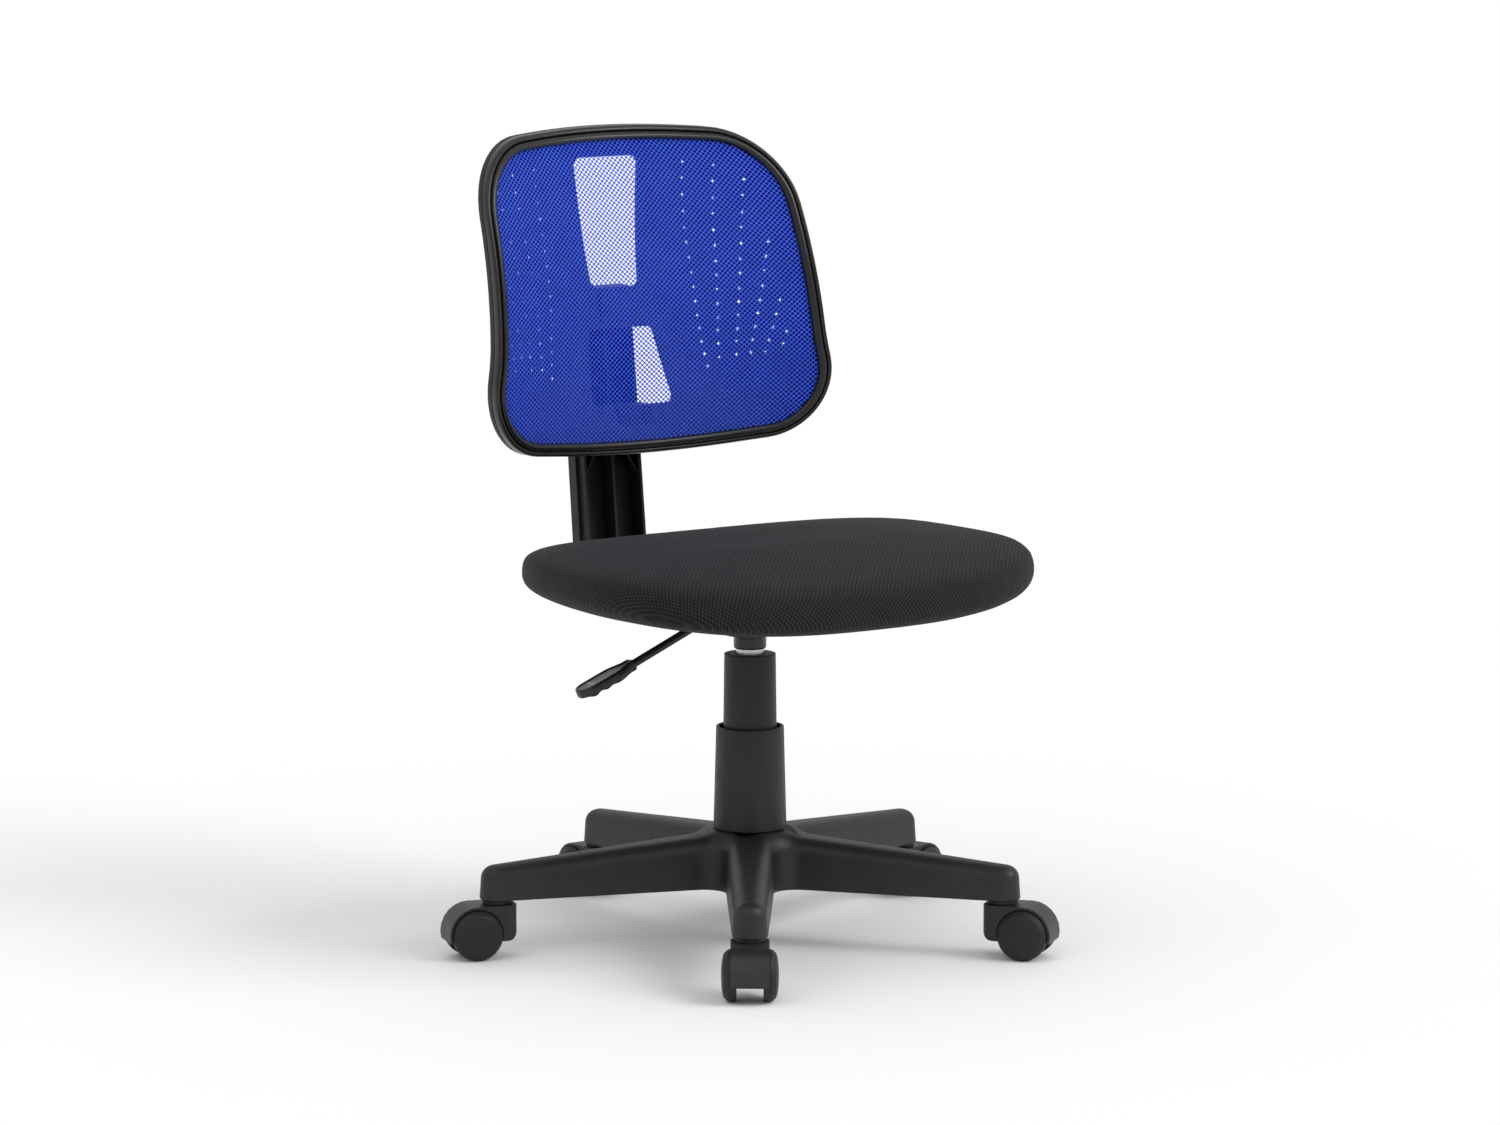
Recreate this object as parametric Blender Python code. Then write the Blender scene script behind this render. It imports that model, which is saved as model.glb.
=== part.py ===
"""Swivel task chair: five-leg castor base, gas lift, padded seat and mesh back.

Metres, +Z up; the chair faces -Y and the sitter's left is +X. The origin is on the
floor under the middle of the whole chair, so the lift column stands at COLUMN.
Every size that can be chosen by itself is a named value below. Heights in the names
are above the star base's underside, which the castors hold BASE_HEIGHT off the floor.
"""

import math

import bmesh
import bpy
from mathutils import Matrix, Vector

GAP = 0.0003                      # between pieces that touch
FINE, MEDIUM, COARSE = 28, 16, 12  # sides of turned pieces
WHEEL_SIDES = 24
SCREW_SIDES = 8
SHARP_ANGLE = math.radians(35)

# Star base
LEG_COUNT = 5
LEG_HEADING = math.radians(-34)   # of the first leg, from straight ahead (-Y) towards +X
CASTOR_CIRCLE = 0.260             # radius of the castor stems' circle
LEG_TIP_HALF = 0.0173
LEG_ROOT_HALF = 0.0240
LEG_TIP_TOP = 0.0335
HUB_RISE = 0.0222                 # of the hub over the leg tips
HUB_LEDGE = 0.00685               # flat of the hub outside the lower cover
HUB_SLEEVE_WALL = 0.0080          # round the tube's taper
CROTCH_RADIUS = 0.022             # fillet between two legs, in plan
LEG_DRAFT = 0.0012
LEG_EDGE_ROUND = 0.011            # rounding of the leg's top edges, across
LEG_EDGE_DROP = 0.014             # and down
LEG_WALL = 0.0035
LEG_RIB = 0.0030
HUB_TOP = LEG_TIP_TOP + HUB_RISE

# Castors
WHEEL_RADIUS = 0.025
WHEEL_INNER_FACE = 0.0128         # from the castor's middle plane
WHEEL_TREAD = 0.0105
WHEEL_DOME = 0.0042
WHEEL_EDGE = 0.0015
TRAIL = 0.0245
AXLE_RADIUS = 0.003
AXLE_BITE = 0.7                   # share of a wheel's tread that the axle goes into
STEM_RADIUS = 0.0055
STEM_ROOF = 0.0055                # from the stem to the top of the leg
STEM_COLLAR_RADIUS = 0.0150
STEM_COLLAR = 0.0038
STEM_PIN_RADIUS = 0.004
STEM_PIN_LENGTH = 0.022           # in the hood
HOOD_WALL = 0.0024
HOOD_CLEARANCE = 0.0010           # round the wheels
HOOD_HEADROOM = 0.0031            # from the top of the wheels to the top of the hood
HOOD_HALF_WIDTH = 0.0185
HOOD_BELOW_AXLE = 0.007
NECK_REACH = 0.0170               # from the stem axis, away from the wheels
NECK_ROUND = 0.011
HOOD_LOW_EDGE = WHEEL_RADIUS - HOOD_BELOW_AXLE   # above the floor, as the next two
HOOD_TOP = 2 * WHEEL_RADIUS + HOOD_HEADROOM
BASE_HEIGHT = HOOD_TOP + STEM_COLLAR + 2 * GAP
STEM_LENGTH = LEG_TIP_TOP - STEM_ROOF

# Gas lift
TUBE_RADIUS = 0.025
TUBE_WALL = 0.002
TUBE_BOTTOM = -0.0135
TUBE_ABOVE_HUB = 0.0968
TUBE_TAPER = 0.0015               # narrowing through the hub
BUSH_LENGTH = 0.060
CYLINDER_RADIUS = 0.014
CYLINDER_WALL = 0.002
CYLINDER_IN_PAN = 0.0095          # from the pan's underside to the cylinder's top
CYLINDER_TAPER = 0.0010
CYLINDER_ROOF = 0.004             # of its bore, over the socket's lower end
ROD_RADIUS = 0.005
ROD_TIP_RADIUS = 0.004
ROD_SHOULDER_RADIUS = 0.008
ROD_PAST_CLIP = 0.003
ROD_PAST_PISTON = 0.004
ROD_HOLE_PLAY = 0.001
PISTON_LENGTH = 0.012
LIFT_STROKE = 0.090
BEARING_HEIGHT = 0.006
BEARING_MARGIN = 0.006            # round the rod's shoulder
SHOULDER_HEIGHT = 0.0025
BUMP_STOP_HEIGHT = 0.0043
BUMP_STOP_INSET = 0.001           # inside the cylinder's bore
PISTON_REST = 0.010               # over the guide with the seat fully up
CLIP_HEIGHT = 0.0025
PIN_RADIUS = 0.0025
PIN_HEAD_RADIUS = 0.0045
PIN_HEAD = 0.003
PIN_STROKE = 0.0050
PIN_MARGIN = 0.0005               # left under its head at full stroke
TUBE_TOP = HUB_TOP + TUBE_ABOVE_HUB

# Column covers
LOWER_COVER_LIP = 0.005           # over the tube's top
LOWER_COVER_SPACE = 0.0085        # from the tube to the cover's top rim
LOWER_COVER_DRAFT = 0.00265
UPPER_COVER_HEIGHT = 0.0773       # over the tube's top
UPPER_COVER_SPACE = 0.0014
UPPER_COVER_DRAFT = 0.00095
UPPER_COVER_SKIRT = 0.016
COVER_WALL = 0.0020
COVER_BEAD = 0.0012
COVER_EDGE = 0.0008
COVER_PLAY = 0.0005               # round the cylinder
LOWER_COVER_TOP = TUBE_TOP + LOWER_COVER_LIP
UPPER_COVER_TOP = TUBE_TOP + UPPER_COVER_HEIGHT
UPPER_COVER_FOOT_RADIUS = TUBE_RADIUS + UPPER_COVER_SPACE
UPPER_COVER_TOP_RADIUS = UPPER_COVER_FOOT_RADIUS - UPPER_COVER_DRAFT
LOWER_COVER_TOP_RADIUS = TUBE_RADIUS + LOWER_COVER_SPACE
LOWER_COVER_FOOT_RADIUS = LOWER_COVER_TOP_RADIUS + LOWER_COVER_DRAFT
HUB_RADIUS = LOWER_COVER_FOOT_RADIUS + HUB_LEDGE
HUB_SLEEVE = TUBE_RADIUS + HUB_SLEEVE_WALL

# Seat mechanism
CYLINDER_SHOWN = 0.0051           # between the upper cover and the socket
SOCKET_DEPTH = 0.0211             # under the pan
SOCKET_WALL = 0.0022
SOCKET_FLANGE = 0.0010
SOCKET_FLANGE_HEIGHT = 0.002
SOCKET_CHAMFER = 0.0015
SOCKET_BELOW_TOP = 0.002          # from its upper end to the cylinder's
SOCKET_RADIUS = CYLINDER_RADIUS + SOCKET_WALL
SOCKET_FLANGE_RADIUS = SOCKET_RADIUS + SOCKET_FLANGE
SOCKET_BOTTOM = UPPER_COVER_TOP + CYLINDER_SHOWN
PAN_BOTTOM = SOCKET_BOTTOM + SOCKET_DEPTH
CYLINDER_TOP = PAN_BOTTOM + CYLINDER_IN_PAN
BOARD_ABOVE_PAN = 0.0320
BOARD_BOTTOM = PAN_BOTTOM + BOARD_ABOVE_PAN
PAN_HALF_WIDTH = 0.050
PAN_FRONT = -0.048
PAN_BACK = 0.044
PLATE_HALF_WIDTH = 0.085
PLATE_FRONT = -0.095
STEEL = 0.0025
PLATE_CORNER = 0.012
PAN_CORNER = 0.008
EAR_MARGIN = 0.0015               # round the lever's hub
SLOT_MARGIN = 0.002               # round the lever's bar
SEAT_SCREW_X = 0.070
SEAT_SCREW_INSET = 0.014          # from the plate's front and back edges
LEVER_PIVOT_X = -0.040
LEVER_PIVOT_RADIUS = 0.0025
LEVER_ROD_RADIUS = 0.004
LEVER_HUB_RADIUS = 0.0065
LEVER_HUB_HALF = 0.0080
LEVER_ELBOW = (-0.028, -0.0130)   # x and z from the lever's pivot, as the next three
LEVER_ROD_END = (-0.110, -0.0477)
HANDLE_START = (-0.0974, -0.0423)
HANDLE_TIP = (-0.1595, -0.0675)
LEVER_RISE = 0.0045               # of the bar from its pivot to the release pin
HANDLE_HALF_WIDTH = 0.0145
HANDLE_NECK_HALF = 0.0070
HANDLE_THICKNESS = 0.011
HANDLE_CHAMFER = 0.0018
HANDLE_FLARE = (0.12, 0.34)       # shares of its length between which it widens
HANDLE_ROUNDS = (0.002, 0.010, 0.020)  # plan radii at the neck, and where it starts and stops widening
HANDLE_END_SHARE = 0.95           # of the half-width: radius of its end
HANDLE_ROLL = math.radians(6)     # its face turned towards the front

# Seat
SEAT_REAR = 0.169                 # behind the column
SEAT_HALF_WIDTH = 0.2487
SEAT_HALF_DEPTH = 0.205
SEAT_SQUARENESS = 2.62            # exponent of the plan's superellipse
SEAT_TAPER = 0.073                # wider at the front, narrower at the back
SEAT_ABOVE_BOARD = 0.0286         # from the board's underside to the widest level
SEAT_CROWN = 0.0309
SEAT_CROWN_SQUARENESS = 5.9
SEAT_BELLY = 0.0438
SEAT_BELLY_SQUARENESS = 2.11
SEAT_FRONT_DROP = 0.0194          # of the front edge below the level middle
SEAT_REAR_DROP = 0.0156
SEAT_FLAT = 0.25                  # share of the depth that stays level
BOARD_SCALE = 0.76                # of the cushion's plan
BOARD_THICKNESS = 0.012
SCREW_RADIUS = 0.003
SCREW_HEAD_RADIUS = 0.006
SCREW_HEAD = 0.0035
SCREW_BITE = 0.009                # depth of a screw in the board
SEAT_MID_Z = BOARD_BOTTOM + SEAT_ABOVE_BOARD
SEAT_CENTRE_Y = SEAT_REAR - SEAT_HALF_DEPTH
BOARD_REAR = SEAT_CENTRE_Y + SEAT_HALF_DEPTH * BOARD_SCALE

# Back
BACK_BEHIND_SEAT = 0.0226
BACK_ABOVE_SEAT = 0.0693
BACK_LEVEL = 0.1627               # from the bottom edge to where BACK_LEAN is measured
BACK_LEAN = 0.2384
BACK_CURVE_UP = 1.20              # per metre
BACK_CURVE_ACROSS = 0.834
BACK_CURVE_RISE = 0.70            # gain of the curve across per metre upwards
BACK_HEIGHT = 0.307
BACK_TOP_HALF = 0.1695            # half-widths at the top corners, the waist and the bottom corners
BACK_WAIST_HALF = 0.1829
BACK_BOTTOM_HALF = 0.1998
BACK_TOP_ARCH = 0.012             # rise of the top edge over its corners
BACK_BOTTOM_ARCH = 0.0176
BACK_WAIST_RISE = 0.0975          # from the bottom edge to the waist
BACK_TOP_ROUND = 0.0696
BACK_WAIST_ROUND = 0.303
BACK_BOTTOM_ROUND = 0.0658
BACK_ARCH_RADIUS = 1.2            # of the top and bottom edges at the middle
FRAME_WIDTH = 0.0128
FRAME_FRONT = 0.0045
FRAME_DEPTH = 0.0080
FRAME_EDGE = 0.0012               # chamfer of the outer rim
GROOVE_AT = 0.0080
MESH_THICKNESS = 0.0012
SHELL_WALL = 0.0032
SHELL_RIM_DEPTH = 0.0095          # behind the frame
SHELL_BULGE = 0.041
UPPER_WINDOW_HALF = (0.0282, 0.0386)  # half-widths at the foot and the head
LOWER_WINDOW_HALF = (0.0495, 0.0382)
WINDOW_TOP_MARGIN = 0.0218        # from the back's top edge
WINDOW_GAPS = (0.0030, 0.0040, 0.0066)  # between pads and windows, upwards
WINDOW_CORNER = 0.008
PAD_HALF_WIDTH = 0.020
PAD_BITE = 0.001                  # into the shell's skin
LOWER_PAD_RISE = 0.0137           # from the back's bottom edge to the pad
LOWER_PAD_HEIGHT = 0.021
UPPER_PAD_RISE = 0.1177
UPPER_PAD_HEIGHT = 0.030
BACK_BOTTOM = SEAT_MID_Z + SEAT_CROWN + BACK_ABOVE_SEAT
BACK_TOP = BACK_BOTTOM + BACK_HEIGHT
BACK_MID_Z = BACK_BOTTOM + BACK_LEVEL
BACK_MID_Y = SEAT_REAR + BACK_BEHIND_SEAT
LOWER_PAD = (BACK_BOTTOM + LOWER_PAD_RISE, BACK_BOTTOM + LOWER_PAD_RISE + LOWER_PAD_HEIGHT)
UPPER_PAD = (BACK_BOTTOM + UPPER_PAD_RISE, BACK_BOTTOM + UPPER_PAD_RISE + UPPER_PAD_HEIGHT)
LOWER_WINDOW = (LOWER_PAD[1] + WINDOW_GAPS[0], UPPER_PAD[0] - WINDOW_GAPS[1], *LOWER_WINDOW_HALF)
UPPER_WINDOW = (UPPER_PAD[1] + WINDOW_GAPS[2], BACK_TOP - WINDOW_TOP_MARGIN, *UPPER_WINDOW_HALF)

# Back bracket
BAR_HALF_WIDTH = 0.038
BAR_DEPTH = 0.0245
BAR_LEAN = math.atan(0.1077)
BAR_BEHIND_BACK = 0.0574          # from the mesh to the bar's front face, at BAR_REF_Z
BAR_REF_DROP = 0.0243             # of BAR_REF_Z below the back's bottom edge
BAR_ABOVE_PAD = 0.004
BAR_BEND = 0.024                  # inner bend radius
BAR_WALL = 0.0028
BAR_RIB = 0.0026
BAR_CROSS_RIBS = (0.0157, 0.0857) # above the back's bottom edge; the diagonals cross at the first
BAR_DIAGONAL_RISE = 0.055
BAR_STEP = 0.0035                 # the front half is narrower by this much each side
BAR_FLARE = 0.16                  # widening per metre downwards
ARM_BELOW_BOARD = 0.0105
ARM_DEPTH = 0.020
ARM_BEHIND_PAN = 0.004
ARM_SCREW_INSETS = (0.014, 0.0218)  # from the arm's front end and the board's rear edge
BRACKET_SCREW_PITCH = 0.013
BOSS_RADIUS = 0.0070
BAR_FRONT_Y = BACK_MID_Y + BAR_BEHIND_BACK
BAR_REF_Z = BACK_BOTTOM - BAR_REF_DROP
BAR_TOP = UPPER_PAD[1] + BAR_ABOVE_PAD
ARM_TOP = BOARD_BOTTOM - ARM_BELOW_BOARD
ARM_BOTTOM = ARM_TOP - ARM_DEPTH
ARM_FRONT = PAN_BACK + ARM_BEHIND_PAN
ARM_SCREW_Y = (ARM_FRONT + ARM_SCREW_INSETS[0], BOARD_REAR - ARM_SCREW_INSETS[1])


# ---------------------------------------------------------------- shape tools

def link(name, mesh, material, parent, location=(0, 0, 0), turn=0.0):
    """One named object of a mesh, under a parent empty."""
    obj = bpy.data.objects.new(name, mesh)
    bpy.context.scene.collection.objects.link(obj)
    obj.parent = parent
    obj.location = location
    obj.rotation_euler = (0, 0, turn)
    if not mesh.materials:
        mesh.materials.append(material)
    return obj


def empty(name, parent=None, location=(0, 0, 0), rotation=(0, 0, 0)):
    obj = bpy.data.objects.new(name, None)
    bpy.context.scene.collection.objects.link(obj)
    obj.parent = parent
    obj.location = location
    obj.rotation_euler = rotation
    return obj


def to_mesh(points, faces):
    """A closed mesh with its faces pointing out."""
    shape = bmesh.new()
    verts = [shape.verts.new(p) for p in points]
    for face in faces:
        shape.faces.new([verts[i] for i in face])
    bmesh.ops.recalc_face_normals(shape, faces=shape.faces)
    if shape.calc_volume(signed=True) < 0:
        bmesh.ops.reverse_faces(shape, faces=shape.faces)
    mesh = bpy.data.meshes.new("shape")
    shape.to_mesh(mesh)
    shape.free()
    return smooth(mesh)


def smooth(mesh):
    mesh.shade_smooth()
    mesh.set_sharp_from_angle(angle=SHARP_ANGLE)
    return mesh


def loft(loops, wrap=False, fan=False):
    """A skin over closed loops of equal count; its ends are capped unless it wraps."""
    count = len(loops[0])
    points = [p for loop in loops for p in loop]
    faces = []
    pairs = len(loops) if wrap else len(loops) - 1
    for i in range(pairs):
        low, high = i * count, (i + 1) % len(loops) * count
        for j in range(count):
            k = (j + 1) % count
            faces.append((low + j, low + k, high + k, high + j))
    for loop, base in () if wrap else ((loops[0], 0), (loops[-1], (len(loops) - 1) * count)):
        if fan:
            points.append(sum((Vector(p) for p in loop), Vector()) / count)
            faces += [(base + j, base + (j + 1) % count, len(points) - 1) for j in range(count)]
        else:
            faces.append(tuple(range(base, base + count)))
    return to_mesh(points, faces)


def turned(profile, sides, ring=False):
    """A profile of (radius, z) turned round Z: a solid, or a ring of closed section."""
    points, rows, faces = [], [], []
    for radius, z in profile:
        steps = sides if radius > 0 else 1
        rows.append([len(points) + i for i in range(steps)])
        for i in range(steps):
            angle = 2 * math.pi * i / sides
            points.append((radius * math.cos(angle), radius * math.sin(angle), z))
    pairs = list(zip(rows, rows[1:]))
    if ring:
        pairs.append((rows[-1], rows[0]))
    for low, high in pairs:
        for i in range(sides):
            j = (i + 1) % sides
            quad = [low[i % len(low)], low[j % len(low)], high[j % len(high)], high[i % len(high)]]
            faces.append(tuple(dict.fromkeys(quad)))
    return to_mesh(points, faces)


def tube(inner, outer, low, high, sides):
    return turned([(inner, low), (outer, low), (outer, high), (inner, high)], sides, ring=True)


def cylinder(radius, low, high, sides):
    return turned([(0, low), (radius, low), (radius, high), (0, high)], sides)


def prism(outline, low, high, axis="Z"):
    """An outline pushed along an axis; for X it is (y, z), for Y (x, z), for Z (x, y)."""
    place = {"X": lambda a, b, c: (c, a, b), "Y": lambda a, b, c: (a, c, b),
             "Z": lambda a, b, c: (a, b, c)}[axis]
    return loft([[Vector(place(a, b, c)) for a, b in outline] for c in (low, high)])


def box(low, high):
    outline = [(low[0], low[1]), (high[0], low[1]), (high[0], high[1]), (low[0], high[1])]
    return prism(outline, low[2], high[2])


def arc(centre, radius, start, end, steps):
    """Points on an arc, both ends included."""
    angles = [start + (end - start) * i / steps for i in range(steps + 1)]
    return [(centre[0] + radius * math.cos(a), centre[1] + radius * math.sin(a)) for a in angles]


def tangent_lengths(corners):
    """How far each corner's arc reaches along its sides, limited so that two arcs share a side."""
    reach, sides = [], []
    for i, (a, b, radius) in enumerate(corners):
        here = Vector((a, b))
        back = Vector(corners[i - 1][:2]) - here
        ahead = Vector(corners[(i + 1) % len(corners)][:2]) - here
        reach.append(radius / math.tan(back.angle(ahead) / 2))
        sides.append(ahead.length)
    fits = []
    for i, length in enumerate(reach):
        before, after = length + reach[i - 1], length + reach[(i + 1) % len(reach)]
        share = min(1, sides[i - 1] / before if before else 1, sides[i] / after if after else 1)
        fits.append(length * share)
    return fits


def rounded(corners, steps=6):
    """A closed outline of (a, b, corner radius) with each corner an arc."""
    outline = []
    for i, reach in enumerate(tangent_lengths(corners)):
        here = Vector(corners[i][:2])
        if reach <= 0:
            outline.append(tuple(here))
            continue
        back = (Vector(corners[i - 1][:2]) - here).normalized()
        ahead = (Vector(corners[(i + 1) % len(corners)][:2]) - here).normalized()
        half = back.angle(ahead) / 2
        radius = reach * math.tan(half)
        centre = here + (back + ahead).normalized() * radius / math.sin(half)
        start = here + back * reach - centre
        end = here + ahead * reach - centre
        first = math.atan2(start.y, start.x)
        sweep = (math.atan2(end.y, end.x) - first + math.pi) % (2 * math.pi) - math.pi
        outline += arc(centre, radius, first, first + sweep, steps)
    return outline


def offset(outline, distance):
    """Moves each point of a counter-clockwise outline outwards."""
    moved = []
    for i, here in enumerate(outline):
        back, ahead = Vector(outline[i - 1]), Vector(outline[(i + 1) % len(outline)])
        first, second = (Vector(here) - back).normalized(), (ahead - Vector(here)).normalized()
        normal = (Vector((first.y, -first.x)) + Vector((second.y, -second.x))).normalized()
        stretch = 1 / max(0.5, normal.dot(Vector((first.y, -first.x))))
        moved.append(tuple(Vector(here) + normal * distance * stretch))
    return moved


def sweep_round(path, radius, sides):
    """A round bar along points in the XZ plane."""
    loops = []
    for i, here in enumerate(path):
        back, ahead = path[max(i - 1, 0)], path[min(i + 1, len(path) - 1)]
        along = Vector((ahead[0] - back[0], 0, ahead[1] - back[1])).normalized()
        across = Vector((-along.z, 0, along.x))
        ring = []
        for j in range(sides):
            angle = 2 * math.pi * j / sides
            spoke = across * math.cos(angle) + Vector((0, 1, 0)) * math.sin(angle)
            ring.append(Vector((here[0], 0, here[1])) + spoke * radius)
        loops.append(ring)
    return loft(loops)


def placed(mesh, matrix):
    mesh.transform(matrix)
    return mesh


def combine(target, tool, operation, solver="EXACT"):
    """The mesh of a Boolean of two closed meshes."""
    first = bpy.data.objects.new("target", target)
    second = bpy.data.objects.new("cutter", tool)
    for obj in (first, second):
        bpy.context.scene.collection.objects.link(obj)
    modifier = first.modifiers.new("boolean", "BOOLEAN")
    modifier.operation = operation
    modifier.solver = solver
    modifier.object = second
    bpy.context.view_layer.update()
    graph = bpy.context.evaluated_depsgraph_get()
    result = bpy.data.meshes.new_from_object(first.evaluated_get(graph))
    for obj in (first, second):
        bpy.data.objects.remove(obj)
    return smooth(result)


def cut(target, *tools, solver="EXACT"):
    for tool in tools:
        target = combine(target, tool, "DIFFERENCE", solver)
    return target


def join(target, *tools, solver="EXACT"):
    for tool in tools:
        target = combine(target, tool, "UNION", solver)
    return target


def along_y(mesh):
    """Turns a piece made round Z so that it lies along Y."""
    return placed(mesh, Matrix.Rotation(math.radians(90), 4, "X"))


# ------------------------------------------------------------------ materials

def material(name, colour, roughness, metallic=0.0):
    made = bpy.data.materials.new(name)
    made.use_nodes = True
    shader = made.node_tree.nodes["Principled BSDF"]
    shader.inputs["Base Color"].default_value = (*colour, 1)
    shader.inputs["Roughness"].default_value = roughness
    shader.inputs["Metallic"].default_value = metallic
    return made


def make_materials():
    return {
        "nylon": material("base_nylon", (0.030, 0.030, 0.031), 0.50),
        "wheel": material("wheel_nylon", (0.020, 0.020, 0.021), 0.55),
        "hood": material("hood_nylon", (0.034, 0.034, 0.036), 0.45),
        "cover": material("cover_plastic", (0.032, 0.032, 0.033), 0.45),
        "frame": material("frame_plastic", (0.018, 0.018, 0.019), 0.32),
        "shell": material("shell_plastic", (0.016, 0.016, 0.018), 0.48),
        "painted": material("black_painted_steel", (0.018, 0.018, 0.018), 0.38, 0.2),
        "steel": material("bright_steel", (0.62, 0.62, 0.64), 0.25, 1.0),
        "rubber": material("black_rubber", (0.020, 0.020, 0.020), 0.85),
        "bush": material("grey_acetal", (0.16, 0.16, 0.16), 0.50),
        "fabric": material("seat_fabric", (0.022, 0.022, 0.023), 0.90),
        "mesh": material("blue_mesh", (0.050, 0.090, 0.780), 0.70),
        "board": material("plywood", (0.45, 0.32, 0.19), 0.70),
    }


# ------------------------------------------------------------------ star base

def leg_headings():
    return [LEG_HEADING + 2 * math.pi * i / LEG_COUNT for i in range(LEG_COUNT)]


def on_leg(heading, along, across=0.0):
    """Plan position at a distance along a leg and to its side."""
    out = Vector((math.sin(heading), -math.cos(heading)))
    side = Vector((math.cos(heading), math.sin(heading)))
    return out * along + side * across


def column_position():
    """Puts the castor wheels' middles evenly round the origin."""
    spots = [on_leg(h, CASTOR_CIRCLE + TRAIL) for h in leg_headings()]
    xs, ys = [s.x for s in spots], [s.y for s in spots]
    return -(min(xs) + max(xs)) / 2, -(min(ys) + max(ys)) / 2


SIDE_STEPS, TIP_STEPS, CROTCH_STEPS = 1, 6, 4


def star_outline(inset):
    """Plan of the star, moved in from its edge by an inset, and its leg slope."""
    slope = (LEG_ROOT_HALF - LEG_TIP_HALF) / (CASTOR_CIRCLE - HUB_RADIUS)
    half_pitch = math.pi / LEG_COUNT
    opening = half_pitch + math.atan(slope)
    reach = LEG_ROOT_HALF + HUB_RADIUS * slope
    corner = reach / (math.sin(half_pitch) + math.cos(half_pitch) * slope)
    crotch = corner + CROTCH_RADIUS / math.sin(opening)
    turn = math.pi / 2 - opening
    outline = []
    for heading in leg_headings():
        out = math.atan2(-math.cos(heading), math.sin(heading))
        middle = out - half_pitch
        centre = Vector((math.cos(middle), math.sin(middle))) * crotch
        radius = CROTCH_RADIUS + inset
        fillet = arc(centre, radius, middle + math.pi + turn, middle + math.pi - turn, CROTCH_STEPS)
        tip = arc(on_leg(heading, CASTOR_CIRCLE), LEG_TIP_HALF - inset,
                  out - math.pi / 2, out + math.pi / 2, TIP_STEPS)
        other = out + half_pitch
        far = Vector((math.cos(other), math.sin(other))) * crotch
        leaving = arc(far, radius, other + math.pi + turn, other + math.pi - turn, CROTCH_STEPS)[0]
        outline += fillet + between(fillet[-1], tip[0]) + tip + between(tip[-1], leaving)
    return outline


def between(start, end):
    """Points strictly between two others."""
    parts = [i / (SIDE_STEPS + 1) for i in range(1, SIDE_STEPS + 1)]
    return [tuple(Vector(start).lerp(Vector(end), part)) for part in parts]


def leg_top(x, y):
    """Height of the star's top over a point of its plan."""
    run = (math.hypot(x, y) - HUB_RADIUS) / (CASTOR_CIRCLE - HUB_RADIUS)
    run = min(max(run, 0), 1)
    return HUB_TOP + (LEG_TIP_TOP - HUB_TOP) * run


def star_level(inset, drop):
    """The star's outline at a depth below its top, or on its underside for None."""
    level = []
    for x, y in star_outline(inset):
        z = 0 if drop is None else leg_top(x, y) - drop
        level.append(Vector((x, y, z)))
    return level


def star_base():
    edge = [(LEG_DRAFT + LEG_EDGE_ROUND * (1 - math.cos(a)), LEG_EDGE_DROP * (1 - math.sin(a)))
            for a in (math.radians(d) for d in (0, 30, 60, 90))]
    loops = [star_level(0, None)] + [star_level(inset, drop) for inset, drop in edge]
    star = loft(loops)
    roof = LEG_EDGE_DROP + LEG_WALL
    hollow = [star_level(LEG_WALL, None), star_level(LEG_WALL + LEG_DRAFT, roof),
              star_level(LEG_WALL + LEG_EDGE_ROUND / 2, LEG_WALL)]
    hollow[0] = [Vector((p.x, p.y, p.z - LEG_WALL)) for p in hollow[0]]
    star = cut(star, loft(hollow))
    bosses = [cylinder(HUB_SLEEVE, -LEG_WALL, HUB_TOP - LEG_WALL / 2, FINE)]
    boss = STEM_RADIUS + LEG_WALL + LEG_RIB
    for heading in leg_headings():
        spot = on_leg(heading, CASTOR_CIRCLE)
        post = cylinder(boss, 0, LEG_TIP_TOP - LEG_WALL / 2, COARSE)
        bosses.append(placed(post, Matrix.Translation((spot.x, spot.y, 0))))
        rib = box((HUB_SLEEVE - LEG_RIB, -LEG_RIB / 2, LEG_RIB),
                  (CASTOR_CIRCLE - boss + LEG_RIB, LEG_RIB / 2, LEG_TIP_TOP - LEG_WALL))
        turn = math.atan2(-math.cos(heading), math.sin(heading))
        bosses.append(placed(rib, Matrix.Rotation(turn, 4, "Z")))
    star = join(star, *bosses, solver="MANIFOLD")
    tools = [turned([(0, -2 * LEG_WALL), (TUBE_RADIUS - TUBE_TAPER + GAP, -2 * LEG_WALL),
                     (TUBE_RADIUS + GAP, HUB_TOP + LEG_WALL), (0, HUB_TOP + LEG_WALL)], FINE)]
    for heading in leg_headings():
        spot = on_leg(heading, CASTOR_CIRCLE)
        bore = cylinder(STEM_RADIUS + GAP, -LEG_WALL, STEM_LENGTH + GAP, COARSE)
        tools.append(placed(bore, Matrix.Translation((spot.x, spot.y, 0))))
    return cut(star, *tools, solver="MANIFOLD")


# --------------------------------------------------------------------- castors

HOOD_RADIUS = WHEEL_RADIUS + HOOD_CLEARANCE + HOOD_WALL
AXLE_BORE = AXLE_RADIUS + GAP


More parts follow.
